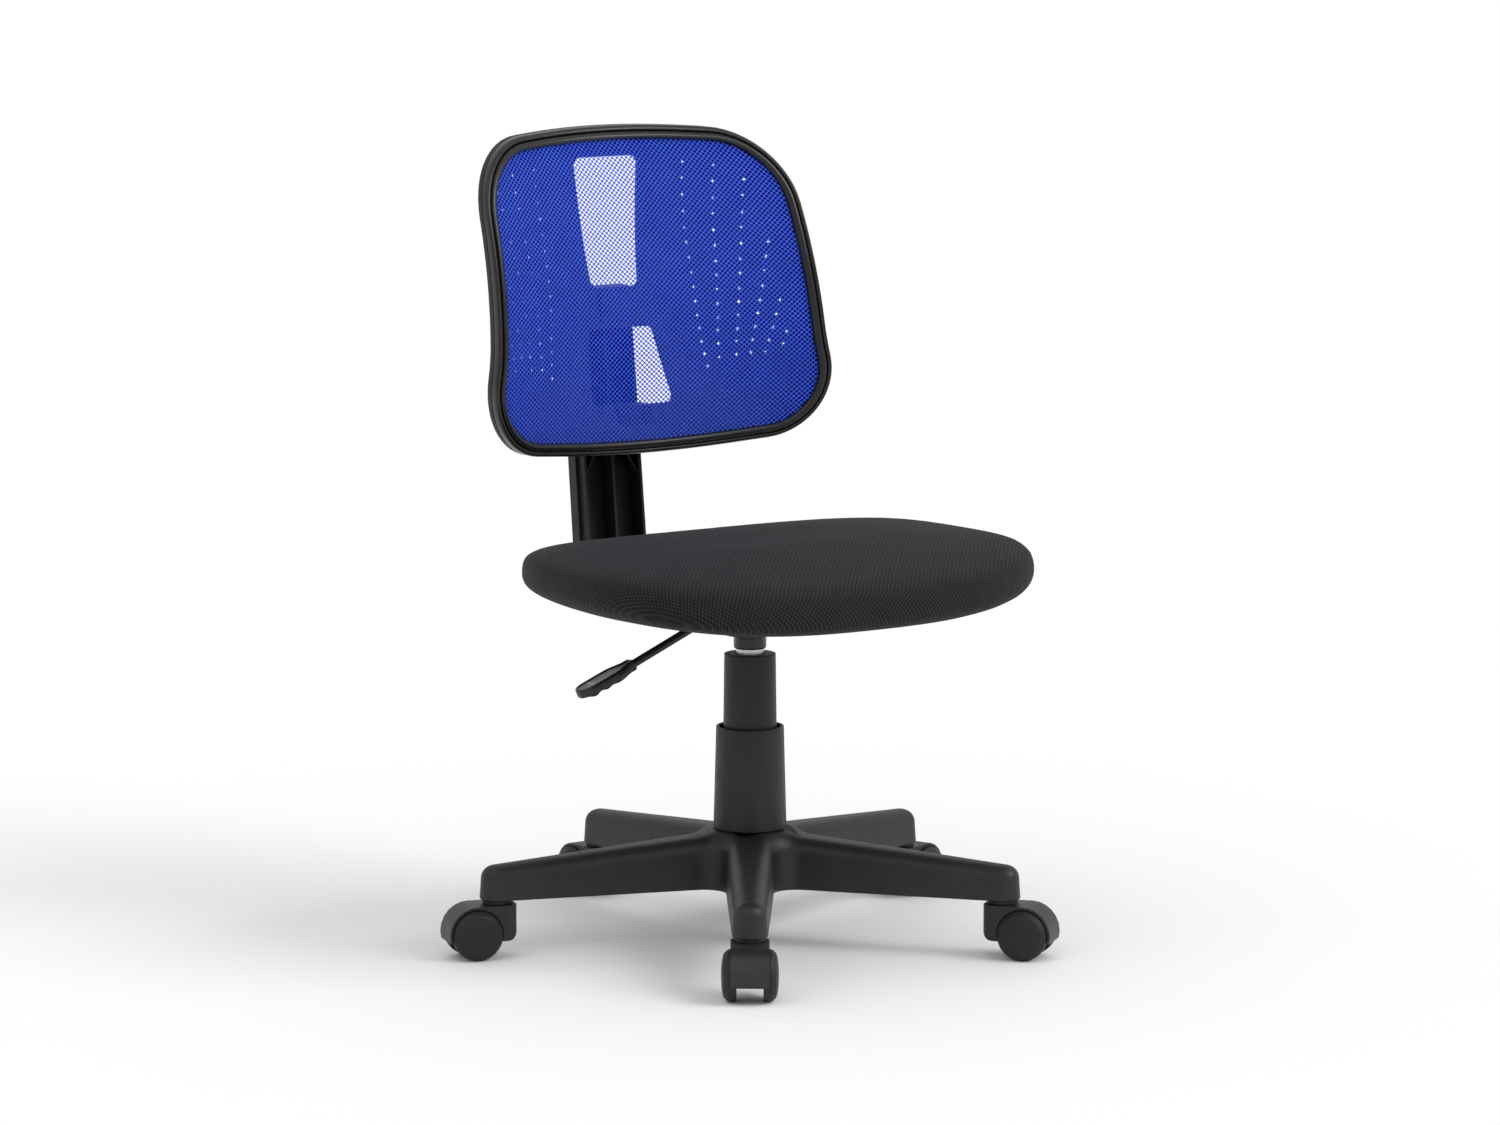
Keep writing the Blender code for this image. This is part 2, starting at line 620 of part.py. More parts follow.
def castor_stem():
    """Steel stem with a collar between the leg and the hood; heights above the floor."""
    tip = BASE_HEIGHT + STEM_LENGTH
    collar_low = HOOD_TOP + GAP
    collar_high = collar_low + STEM_COLLAR
    bottom = collar_low - STEM_PIN_LENGTH
    return turned([(0, bottom), (STEM_PIN_RADIUS, bottom), (STEM_PIN_RADIUS, collar_low),
                   (STEM_COLLAR_RADIUS, collar_low), (STEM_COLLAR_RADIUS, collar_high),
                   (STEM_RADIUS, collar_high), (STEM_RADIUS, tip - STEM_RADIUS / 4),
                   (STEM_RADIUS * 0.75, tip), (0, tip)], COARSE)


def castor_hood():
    """Hood with its neck round the stem and its web on the axle; wheels trail along +X."""
    low, mid = HOOD_LOW_EDGE, Vector((TRAIL, WHEEL_RADIUS))
    neck = prism(rounded([(-NECK_REACH, low, NECK_ROUND), (TRAIL, low, 0),
                          (TRAIL, HOOD_TOP, 0), (-NECK_REACH, HOOD_TOP, 0.0008)]),
                 -HOOD_HALF_WIDTH, HOOD_HALF_WIDTH, "Y")
    plan = prism(rounded([(-NECK_REACH, -HOOD_HALF_WIDTH, NECK_ROUND), (TRAIL + GAP, -HOOD_HALF_WIDTH, 0),
                          (TRAIL + GAP, HOOD_HALF_WIDTH, 0), (-NECK_REACH, HOOD_HALF_WIDTH, NECK_ROUND)]),
                 0, HOOD_TOP + GAP)
    neck = combine(neck, plan, "INTERSECT")
    drum = cylinder(HOOD_RADIUS, -HOOD_HALF_WIDTH, HOOD_HALF_WIDTH, WHEEL_SIDES)
    to_wheel = Matrix.Translation((TRAIL, 0, WHEEL_RADIUS))
    hood = join(neck, placed(along_y(drum), to_wheel), solver="MANIFOLD")
    reach = 2 * HOOD_RADIUS
    floor = box((-reach, -reach, -reach), (2 * reach, reach, low))
    well = WHEEL_RADIUS + HOOD_CLEARANCE
    wells = [placed(along_y(cylinder(well, a, b, WHEEL_SIDES)), to_wheel)
             for a, b in ((-reach, -WHEEL_INNER_FACE + GAP), (WHEEL_INNER_FACE - GAP, reach))]
    axle_bore = placed(along_y(cylinder(AXLE_BORE, -reach, reach, COARSE)), to_wheel)
    stem_bore = cylinder(STEM_PIN_RADIUS + GAP, HOOD_TOP - STEM_PIN_LENGTH - 2 * GAP,
                         HOOD_TOP + STEM_COLLAR, COARSE)
    return cut(hood, floor, *wells, axle_bore, stem_bore, solver="MANIFOLD")


def castor_axle():
    half = WHEEL_INNER_FACE + WHEEL_TREAD * AXLE_BITE
    return along_y(cylinder(AXLE_RADIUS, -half, half, COARSE))


def castor_wheel():
    """Domed wheel with its outer face towards +Y and a blind bore from the inside."""
    inner = WHEEL_INNER_FACE
    outer = inner + WHEEL_TREAD
    depth = inner + WHEEL_TREAD * AXLE_BITE + 2 * GAP
    dome = [(WHEEL_RADIUS * math.cos(a), outer + WHEEL_DOME * math.sin(a))
            for a in (math.radians(d) for d in (0, 45))]
    profile = [(0, depth), (AXLE_BORE, depth), (AXLE_BORE, inner), (WHEEL_RADIUS - WHEEL_EDGE, inner),
               (WHEEL_RADIUS, inner + WHEEL_EDGE)] + dome + [(0, outer + WHEEL_DOME)]
    return placed(turned(profile, WHEEL_SIDES), Matrix.Rotation(math.radians(-90), 4, "X"))


def castors(chair, looks):
    stem, hood, axle, wheel = castor_stem(), castor_hood(), castor_axle(), castor_wheel()
    for i, heading in enumerate(leg_headings(), start=1):
        spot = on_leg(heading, CASTOR_CIRCLE)
        turn = math.atan2(-math.cos(heading), math.sin(heading))
        swivel = empty(f"castor_swivel_{i}", chair, (spot.x, spot.y, -BASE_HEIGHT), (0, 0, turn))
        hub = empty(f"castor_hub_{i}", swivel, (TRAIL, 0, WHEEL_RADIUS))
        link(f"castor_stem_{i}", stem, looks["wheel"], swivel)
        link(f"castor_hood_{i}", hood, looks["hood"], swivel)
        link(f"castor_axle_{i}", axle, looks["steel"], hub)
        link(f"castor_wheel_left_{i}", wheel, looks["wheel"], hub)
        link(f"castor_wheel_right_{i}", wheel, looks["wheel"], hub, turn=math.pi)


# -------------------------------------------------------------------- gas lift

TUBE_BORE = TUBE_RADIUS - TUBE_WALL
BEARING_LOW = TUBE_BOTTOM + TUBE_WALL + GAP
SHOULDER_LOW = BEARING_LOW + BEARING_HEIGHT + GAP
SHOULDER_HIGH = SHOULDER_LOW + SHOULDER_HEIGHT
CYLINDER_BOTTOM = SHOULDER_HIGH + BUMP_STOP_HEIGHT + 2 * GAP
CYLINDER_BORE = CYLINDER_RADIUS - CYLINDER_WALL
GUIDE_HEIGHT = 0.012
GUIDE_TOP = CYLINDER_BOTTOM + CYLINDER_WALL + GUIDE_HEIGHT
PISTON_BOTTOM = GUIDE_TOP + LIFT_STROKE + PISTON_REST
PIN_HEAD_LOW = CYLINDER_TOP + PIN_STROKE + PIN_MARGIN
PIN_TOP = PIN_HEAD_LOW + PIN_HEAD


def stand_tube():
    """Outer tube, tapered through the hub, with a floor for the thrust bearing."""
    hole = ROD_TIP_RADIUS + ROD_HOLE_PLAY
    taper = TUBE_RADIUS - TUBE_TAPER
    return turned([(hole, TUBE_BOTTOM), (taper, TUBE_BOTTOM), (taper, -2 * LEG_WALL),
                   (TUBE_RADIUS, HUB_TOP + LEG_WALL), (TUBE_RADIUS, TUBE_TOP), (TUBE_BORE, TUBE_TOP),
                   (TUBE_BORE, HUB_TOP + LEG_WALL), (TUBE_BORE - TUBE_TAPER, -2 * LEG_WALL),
                   (TUBE_BORE - TUBE_TAPER, TUBE_BOTTOM + TUBE_WALL), (hole, TUBE_BOTTOM + TUBE_WALL)],
                  FINE, ring=True)


def thrust_bearing():
    return tube(ROD_TIP_RADIUS + GAP, ROD_SHOULDER_RADIUS + BEARING_MARGIN, BEARING_LOW,
                BEARING_LOW + BEARING_HEIGHT, MEDIUM)


def piston_rod():
    tip = TUBE_BOTTOM - CLIP_HEIGHT - ROD_PAST_CLIP
    top = PISTON_BOTTOM + PISTON_LENGTH + ROD_PAST_PISTON
    return turned([(0, tip), (ROD_TIP_RADIUS, tip), (ROD_TIP_RADIUS, SHOULDER_LOW),
                   (ROD_SHOULDER_RADIUS, SHOULDER_LOW), (ROD_SHOULDER_RADIUS, SHOULDER_HIGH),
                   (ROD_RADIUS, SHOULDER_HIGH), (ROD_RADIUS, top), (0, top)], COARSE)


def gas_cylinder():
    """Pressure tube, open below, with a tapered end and a bore for the release pin."""
    roof = SOCKET_BOTTOM + CYLINDER_ROOF
    return turned([(CYLINDER_BORE, CYLINDER_BOTTOM), (CYLINDER_RADIUS, CYLINDER_BOTTOM),
                   (CYLINDER_RADIUS, SOCKET_BOTTOM), (CYLINDER_RADIUS - CYLINDER_TAPER, CYLINDER_TOP),
                   (PIN_RADIUS + GAP, CYLINDER_TOP), (PIN_RADIUS + GAP, roof), (CYLINDER_BORE, roof)],
                  MEDIUM, ring=True)


def release_pin():
    bottom = SOCKET_BOTTOM
    return turned([(0, bottom), (PIN_RADIUS, bottom), (PIN_RADIUS, PIN_HEAD_LOW),
                   (PIN_HEAD_RADIUS, PIN_HEAD_LOW), (PIN_HEAD_RADIUS, PIN_TOP), (0, PIN_TOP)], COARSE)


def lower_cover():
    """Tapered sleeve standing on the hub, with a small bead inside its top rim."""
    foot, top = LOWER_COVER_FOOT_RADIUS, LOWER_COVER_TOP_RADIUS
    low, high = HUB_TOP + GAP, LOWER_COVER_TOP
    bead = COVER_BEAD
    return turned([(foot - COVER_WALL, low), (foot, low), (top, high - bead), (top - bead / 2, high),
                   (top - COVER_WALL - bead, high), (top - COVER_WALL - bead, high - 2 * bead),
                   (top - COVER_WALL, high - 3 * bead)], FINE, ring=True)


def upper_cover():
    """Tapered sleeve with a skirt round the stand tube and a top plate round the cylinder."""
    foot, top, ledge = UPPER_COVER_FOOT_RADIUS, UPPER_COVER_TOP_RADIUS, TUBE_TOP + GAP
    skirt_in = TUBE_RADIUS + GAP
    skirt_out = max(skirt_in + COVER_WALL, foot)
    hole = CYLINDER_RADIUS + COVER_PLAY
    skirt_low = TUBE_TOP - UPPER_COVER_SKIRT
    step = ledge + COVER_WALL
    return turned([(skirt_in, skirt_low), (skirt_out, skirt_low), (skirt_out, step), (foot, step),
                   (top, UPPER_COVER_TOP - COVER_EDGE), (top - COVER_EDGE, UPPER_COVER_TOP),
                   (hole, UPPER_COVER_TOP), (hole, UPPER_COVER_TOP - COVER_WALL),
                   (top - COVER_WALL, UPPER_COVER_TOP - COVER_WALL), (foot - COVER_WALL, step),
                   (TUBE_BORE, step), (TUBE_BORE, ledge), (skirt_in, ledge)], FINE, ring=True)


def gas_lift(chair, looks):
    swivel = empty("seat_swivel", chair)
    link("stand_tube", stand_tube(), looks["painted"], chair)
    bush = tube(CYLINDER_RADIUS + GAP, TUBE_BORE - GAP, TUBE_TOP - BUSH_LENGTH, TUBE_TOP, MEDIUM)
    link("guide_bush", bush, looks["bush"], chair)
    link("thrust_bearing", thrust_bearing(), looks["steel"], chair)
    link("lower_column_cover", lower_cover(), looks["cover"], chair)
    link("upper_column_cover", upper_cover(), looks["cover"], chair)
    link("piston_rod", piston_rod(), looks["steel"], swivel)
    piston = tube(ROD_RADIUS + GAP, CYLINDER_BORE - GAP, PISTON_BOTTOM,
                  PISTON_BOTTOM + PISTON_LENGTH, MEDIUM)
    link("piston", piston, looks["bush"], swivel)
    stop = tube(ROD_RADIUS + GAP, CYLINDER_BORE - BUMP_STOP_INSET, SHOULDER_HIGH + GAP,
                CYLINDER_BOTTOM - GAP, COARSE)
    link("bump_stop", stop, looks["rubber"], swivel)
    clip = tube(ROD_TIP_RADIUS + GAP, ROD_SHOULDER_RADIUS, TUBE_BOTTOM - GAP - CLIP_HEIGHT,
                TUBE_BOTTOM - GAP, COARSE)
    link("retaining_clip", clip, looks["steel"], swivel)
    carriage = empty("height_slide", swivel)
    link("gas_cylinder", gas_cylinder(), looks["steel"], carriage)
    guide = tube(ROD_RADIUS + GAP, CYLINDER_BORE - GAP, CYLINDER_BOTTOM + CYLINDER_WALL, GUIDE_TOP, MEDIUM)
    link("cylinder_guide", guide, looks["bush"], carriage)
    link("release_pin", release_pin(), looks["steel"], carriage)
    return carriage


# -------------------------------------------------------------- seat mechanism

PLATE_TOP = BOARD_BOTTOM - GAP
PLATE_LOW = PLATE_TOP - STEEL
LEVER_AT_PIN = PIN_TOP + GAP + LEVER_ROD_RADIUS
LEVER_PIVOT_Z = LEVER_AT_PIN - LEVER_RISE
EAR_INNER = LEVER_HUB_HALF + 2 * GAP


def screw(length):
    """Pan-head screw along +Z with the underside of its head at z = 0."""
    return turned([(0, -SCREW_HEAD), (SCREW_HEAD_RADIUS * 0.7, -SCREW_HEAD),
                   (SCREW_HEAD_RADIUS, -SCREW_HEAD / 2), (SCREW_HEAD_RADIUS, 0), (SCREW_RADIUS, 0),
                   (SCREW_RADIUS, length), (0, length)], SCREW_SIDES)


def seat_screw_spots():
    ys = (PLATE_FRONT + SEAT_SCREW_INSET, PAN_BACK - SEAT_SCREW_INSET)
    return [(x, y) for x in (-SEAT_SCREW_X, SEAT_SCREW_X) for y in ys]


def cone_socket():
    """Welded socket round the cylinder's taper, chamfered below, flanged under the pan."""
    bore_low = CYLINDER_RADIUS + GAP
    bore_high = CYLINDER_RADIUS - CYLINDER_TAPER + GAP
    chamfer = SOCKET_CHAMFER
    flange_low = PAN_BOTTOM - SOCKET_FLANGE_HEIGHT
    top = CYLINDER_TOP - SOCKET_BELOW_TOP
    return turned([(bore_low, SOCKET_BOTTOM), (SOCKET_RADIUS - chamfer, SOCKET_BOTTOM),
                   (SOCKET_RADIUS, SOCKET_BOTTOM + chamfer), (SOCKET_RADIUS, flange_low),
                   (SOCKET_FLANGE_RADIUS, flange_low), (SOCKET_FLANGE_RADIUS, PAN_BOTTOM - GAP),
                   (SOCKET_RADIUS, PAN_BOTTOM - GAP), (SOCKET_RADIUS, top), (bore_high, top)],
                  MEDIUM, ring=True)


def lift_mechanism():
    """Pressed steel pan with a flange under the seat board and ears for the lever's pin."""
    def slab(half, front, back, corner, low, high):
        plan = rounded([(-half, front, corner), (half, front, corner),
                        (half, back, corner), (-half, back, corner)], 3)
        return prism(plan, low, high)

    plate = slab(PLATE_HALF_WIDTH, PLATE_FRONT, PAN_BACK, PLATE_CORNER, PLATE_LOW, PLATE_TOP)
    pan = slab(PAN_HALF_WIDTH, PAN_FRONT, PAN_BACK - STEEL, PAN_CORNER,
               PAN_BOTTOM, PLATE_TOP - STEEL / 2)
    inside = slab(PAN_HALF_WIDTH - STEEL, PAN_FRONT + STEEL, PAN_BACK - 2 * STEEL,
                  PAN_CORNER - STEEL, PAN_BOTTOM + STEEL, PLATE_TOP + STEEL)
    body = cut(join(plate, pan), inside)
    ear_half = LEVER_HUB_RADIUS + EAR_MARGIN
    ears = [box((LEVER_PIVOT_X - ear_half, min(a, b), PAN_BOTTOM + STEEL / 2),
                (LEVER_PIVOT_X + ear_half, max(a, b), LEVER_PIVOT_Z + LEVER_HUB_RADIUS))
            for a, b in ((-EAR_INNER, -EAR_INNER - STEEL), (EAR_INNER, EAR_INNER + STEEL))]
    body = join(body, *ears)
    slot_half = LEVER_ROD_RADIUS + SLOT_MARGIN
    slot = box((-PAN_HALF_WIDTH - STEEL, -slot_half, PAN_BOTTOM + 2 * STEEL),
               (STEEL * 2 - PAN_HALF_WIDTH, slot_half, PLATE_LOW - STEEL / 2))
    pin = placed(along_y(cylinder(LEVER_PIVOT_RADIUS + GAP, -EAR_INNER - 3 * STEEL,
                                  EAR_INNER + 3 * STEEL, COARSE)),
                 Matrix.Translation((LEVER_PIVOT_X, 0, LEVER_PIVOT_Z)))
    hole = cylinder(SOCKET_RADIUS + GAP, PAN_BOTTOM - STEEL, PAN_BOTTOM + 2 * STEEL, MEDIUM)
    screws = [placed(cylinder(SCREW_RADIUS + GAP, PLATE_LOW - STEEL, PLATE_TOP + STEEL, SCREW_SIDES),
                     Matrix.Translation((x, y, 0))) for x, y in seat_screw_spots()]
    return cut(body, slot, pin, hole, *screws)


def lever_rod():
    """Round bar from over the release pin, through its pivot hub, out to the handle."""
    over_pin = -LEVER_PIVOT_X
    path = [(over_pin + PIN_HEAD_RADIUS / 2, LEVER_RISE), (over_pin - PIN_HEAD_RADIUS, LEVER_RISE),
            (0, 0), LEVER_ELBOW, LEVER_ROD_END]
    hub = along_y(cylinder(LEVER_HUB_RADIUS, -LEVER_HUB_HALF, LEVER_HUB_HALF, COARSE))
    through = 2 * LEVER_HUB_HALF
    bore = along_y(cylinder(LEVER_PIVOT_RADIUS + GAP, -through, through, COARSE))
    return cut(join(sweep_round(path, LEVER_ROD_RADIUS, COARSE), hub), bore)


def lever_handle():
    """Flat paddle that widens from a neck to a round end, socketed on the rod."""
    start, tip = Vector(HANDLE_START), Vector(HANDLE_TIP)
    length, half, neck = (tip - start).length, HANDLE_HALF_WIDTH, HANDLE_NECK_HALF
    end = half * HANDLE_END_SHARE
    side = [(length * share, width, radius)
            for share, width, radius in zip((0, *HANDLE_FLARE), (neck, neck, half), HANDLE_ROUNDS)]
    side.append((length, half, end))
    mirrored = [(a, -width, radius) for a, width, radius in side]
    outline = rounded(mirrored + side[::-1], 4)
    thick, edge = HANDLE_THICKNESS / 2, HANDLE_CHAMFER
    levels = ((-edge, -thick), (0, edge - thick), (0, thick - edge), (-edge, thick))
    loops = [[Vector((a, b, z)) for a, b in offset(outline, inset)] for inset, z in levels]
    tilt = math.atan2(start.y - tip.y, start.x - tip.x)
    turn = Matrix.Rotation(-tilt, 4, "Y") @ Matrix.Rotation(math.pi, 4, "Z")
    roll = Matrix.Rotation(HANDLE_ROLL, 4, "X")
    handle = placed(loft(loops), Matrix.Translation((start.x, 0, start.y)) @ turn @ roll)
    rod_end = Vector(LEVER_ROD_END)
    run = (rod_end - Vector(LEVER_ELBOW)).normalized()
    socket = sweep_round([LEVER_ELBOW, tuple(rod_end + run * GAP)], LEVER_ROD_RADIUS + GAP, COARSE)
    return cut(handle, socket)


def mechanism(seat, looks):
    link("cone_socket", cone_socket(), looks["painted"], seat)
    link("lift_mechanism", lift_mechanism(), looks["painted"], seat)
    pivot = empty("lever_pivot_axis", seat, (LEVER_PIVOT_X, 0, LEVER_PIVOT_Z))
    half = EAR_INNER + 2 * STEEL
    pin = along_y(cylinder(LEVER_PIVOT_RADIUS, -half, half, COARSE))
    link("lever_pivot_pin", pin, looks["steel"], pivot)
    link("lever_rod", lever_rod(), looks["painted"], pivot)
    link("lever_handle", lever_handle(), looks["frame"], pivot)
    length = STEEL + GAP + SCREW_BITE
    bolt = screw(length)
    for i, (x, y) in enumerate(seat_screw_spots(), start=1):
        link(f"seat_screw_{i}", bolt, looks["steel"], seat, (x, y, PLATE_LOW - GAP))


# ------------------------------------------------------------------------ seat

PLAN_STEPS = 40


def seat_plan(scale=1.0):
    """Superellipse plan, wider towards the front."""
    plan = []
    power = 2 / SEAT_SQUARENESS
    for i in range(PLAN_STEPS):
        angle = 2 * math.pi * i / PLAN_STEPS
        c, s = math.cos(angle), math.sin(angle)
        across = math.copysign(abs(c) ** power, c) * scale
        along = math.copysign(abs(s) ** power, s) * scale
        x = SEAT_HALF_WIDTH * across * (1 - SEAT_TAPER * along)
        plan.append((x, SEAT_CENTRE_Y + SEAT_HALF_DEPTH * along))
    return plan


def seat_drop(y):
    """How far the front and back edges fall below the level middle."""
    share = (y - SEAT_CENTRE_Y) / SEAT_HALF_DEPTH
    drop = SEAT_FRONT_DROP if share < 0 else SEAT_REAR_DROP
    return drop * (max(abs(share) - SEAT_FLAT, 0) / (1 - SEAT_FLAT)) ** 2


def seat_cushion():
    loops = []
    for height, power, shares in (
            (SEAT_CROWN, SEAT_CROWN_SQUARENESS, (0.25, 0.55, 0.8, 0.93, 0.985, 1.0)),
            (-SEAT_BELLY, SEAT_BELLY_SQUARENESS, (0.97, 0.85, 0.6))):
        for share in shares:
            rise = height * (1 - share ** power) ** (1 / power)
            loops.append([Vector((x, y, SEAT_MID_Z + rise - seat_drop(y))) for x, y in seat_plan(share)])
    cushion = loft(loops)
    pocket = prism(board_plan(GAP), ARM_BOTTOM, BOARD_BOTTOM + BOARD_THICKNESS + GAP)
    return cut(cushion, pocket)


def board_plan(grow=0.0):
    return offset(seat_plan(BOARD_SCALE)[::2], grow)


def seat_board():
    board = prism(board_plan(), BOARD_BOTTOM, BOARD_BOTTOM + BOARD_THICKNESS)
    spots = seat_screw_spots() + [(0.0, y) for y in ARM_SCREW_Y]
    hole = cylinder(SCREW_RADIUS + GAP, BOARD_BOTTOM - GAP, BOARD_BOTTOM + SCREW_BITE + 2 * GAP,
                    SCREW_SIDES)
    holes = [placed(hole.copy(), Matrix.Translation((x, y, 0))) for x, y in spots]
    return cut(board, *holes)


# ------------------------------------------------------------------------ back

def back_y(x, z):
    """Depth of the mesh face: leaning and bowed upwards, its sides ahead of its middle."""
    rise = z - BACK_MID_Z
    across = BACK_CURVE_ACROSS + BACK_CURVE_RISE * rise
    return BACK_MID_Y + BACK_LEAN * rise + BACK_CURVE_UP * rise ** 2 - across * x ** 2


def back_outline():
    """Edge of the mesh as (x, z), counter-clockwise seen from behind."""
    right = [(BACK_BOTTOM_HALF, BACK_BOTTOM + BACK_BOTTOM_ARCH, BACK_BOTTOM_ROUND),
             (BACK_WAIST_HALF, BACK_BOTTOM + BACK_WAIST_RISE, BACK_WAIST_ROUND),
             (BACK_TOP_HALF, BACK_TOP - BACK_TOP_ARCH, BACK_TOP_ROUND)]
    left = [(-x, z, radius) for x, z, radius in reversed(right)]
    arch = BACK_ARCH_RADIUS
    return rounded([(0, BACK_BOTTOM, arch)] + right + [(0, BACK_TOP, arch)] + left, 4)


def back_loop(outline, depth):
    return [Vector((x, back_y(x, z) + depth, z)) for x, z in outline]


def back_frame():
    """Front ring: a round bead next to the mesh, a groove, and a flatter outer rim."""
    edge = FRAME_EDGE
    section = [(0, edge), (GROOVE_AT * 0.23, -FRAME_FRONT * 0.9), (GROOVE_AT * 0.65, -FRAME_FRONT),
               (GROOVE_AT, -FRAME_FRONT * 0.2), (FRAME_WIDTH - edge, -FRAME_FRONT * 0.3),
               (FRAME_WIDTH, edge), (FRAME_WIDTH, FRAME_DEPTH), (0, FRAME_DEPTH)]
    outline = back_outline()
    return loft([back_loop(offset(outline, out), depth) for out, depth in section], wrap=True)


def toward_middle(outline, share):
    middle = (BACK_TOP + BACK_BOTTOM) / 2
    return [(x * share, middle + (z - middle) * share) for x, z in outline]


def shell_depth(share):
    """Distance of the shell's front face behind the mesh, from rim to middle."""
    return FRAME_DEPTH + GAP + SHELL_RIM_DEPTH - SHELL_WALL + SHELL_BULGE * (1 - share ** 2)


def back_mesh():
    edge = offset(back_outline(), -GAP)
    shares = (1.0, 0.66, 0.33)
    front = [back_loop(toward_middle(edge, share), 0) for share in reversed(shares)]
    rear = [back_loop(toward_middle(edge, share), MESH_THICKNESS) for share in shares]
    return loft(front + rear, fan=True)


def window(spec, corner):
    low, high, half_low, half_high = spec
    outline = rounded([(-half_low, low, corner), (half_low, low, corner),
                       (half_high, high, corner), (-half_high, high, corner)], 3)
    return prism(outline, 0, 2 * BACK_MID_Y, "Y")


def bar_frame():
    """Axes of the bracket's upright: X across, Y rearward, Z up along its front face."""
    return Matrix.Translation((0, BAR_FRONT_Y, BAR_REF_Z)) @ Matrix.Rotation(-BAR_LEAN, 4, "X")


def up_bar(z):
    """Distance up the upright's front face to a height."""
    return (z - BAR_REF_Z) / math.cos(BAR_LEAN)


def pad_front(z_low, z_high):
    """How far ahead of the bracket the shell's inner face lies at a pad."""
    reach = []
    middle = (BACK_TOP + BACK_BOTTOM) / 2
    for z in (z_low, z_high):
        share = abs(z - middle) / (BACK_TOP - middle)
        bar = BAR_FRONT_Y + (z - BAR_REF_Z) * math.tan(BAR_LEAN)
        reach.append(bar - back_y(0, z) - shell_depth(min(share, 1.0)))
    return max(reach)


def bracket_screw_spots():
    """Places (x, z) where the bracket is screwed to the shell's pads."""
    upper, lower = sum(UPPER_PAD) / 2, sum(LOWER_PAD) / 2
    return [(-BRACKET_SCREW_PITCH, upper), (BRACKET_SCREW_PITCH, upper), (0.0, lower)]


def back_shell():
    """Rear shell: a deep rim, a bulging skin with two windows, and pads for the bracket."""
    outline = back_outline()
    rim_out, rim_in = offset(outline, FRAME_WIDTH), offset(outline, FRAME_WIDTH - SHELL_WALL)
    front = FRAME_DEPTH + GAP
    back = front + SHELL_RIM_DEPTH
    shares = (0.96, 0.75, 0.4)
    inner = [back_loop(rim_in, front), back_loop(rim_in, front + SHELL_RIM_DEPTH - 2 * SHELL_WALL)]
    inner += [back_loop(toward_middle(outline, s), shell_depth(s)) for s in shares]
    outer = [back_loop(rim_out, front), back_loop(rim_out, back - SHELL_WALL)]
    outer += [back_loop(offset(outline, FRAME_WIDTH - SHELL_WALL), back)]
    outer += [back_loop(toward_middle(outline, s), shell_depth(s) + SHELL_WALL) for s in shares]
    shell = loft(list(reversed(inner)) + outer, fan=True)
    pads = []
    for low, high in (UPPER_PAD, LOWER_PAD):
        pad = box((-PAD_HALF_WIDTH, -pad_front(low, high) - PAD_BITE, up_bar(low)),
                  (PAD_HALF_WIDTH, -GAP, up_bar(high)))
        pads.append(placed(pad, bar_frame()))
    shell = join(shell, *pads, solver="MANIFOLD")
    bores = [placed(along_y(cylinder(SCREW_RADIUS + GAP, -GAP * 4, SCREW_BITE + GAP, SCREW_SIDES)),
                    bar_frame() @ Matrix.Translation((x, 0, up_bar(z)))) for x, z in bracket_screw_spots()]
    return cut(shell, window(UPPER_WINDOW, WINDOW_CORNER), window(LOWER_WINDOW, WINDOW_CORNER),
               *bores, solver="MANIFOLD")


# ---------------------------------------------------------------- back bracket

def bar_side(rear_inset, front_inset):
    """Side outline (y, z) of the L bracket, its rear/bottom and front/top faces moved in."""
    lean = math.tan(BAR_LEAN)

    def face(z, inset):
        return BAR_FRONT_Y + (z - BAR_REF_Z) * lean + inset

    rear_bend = max(BAR_BEND + BAR_DEPTH - rear_inset, 0.004)
    front_bend = BAR_BEND + front_inset
    depth = BAR_DEPTH / math.cos(BAR_LEAN)
    low, high = ARM_BOTTOM + rear_inset, ARM_TOP - front_inset
    top = BAR_TOP
    return rounded([(ARM_FRONT, low, 0), (face(low, depth - rear_inset), low, rear_bend),
                    (face(top, depth - rear_inset), top, 0), (face(top, front_inset), top, 0),
                    (face(high, front_inset), high, front_bend), (ARM_FRONT, high, 0)], 6)


def flared(mesh):
    """Widens the bracket downwards."""
    for vert in mesh.vertices:
        vert.co.x *= 1 + BAR_FLARE * (BAR_REF_Z - max(vert.co.z, ARM_TOP))
    return mesh


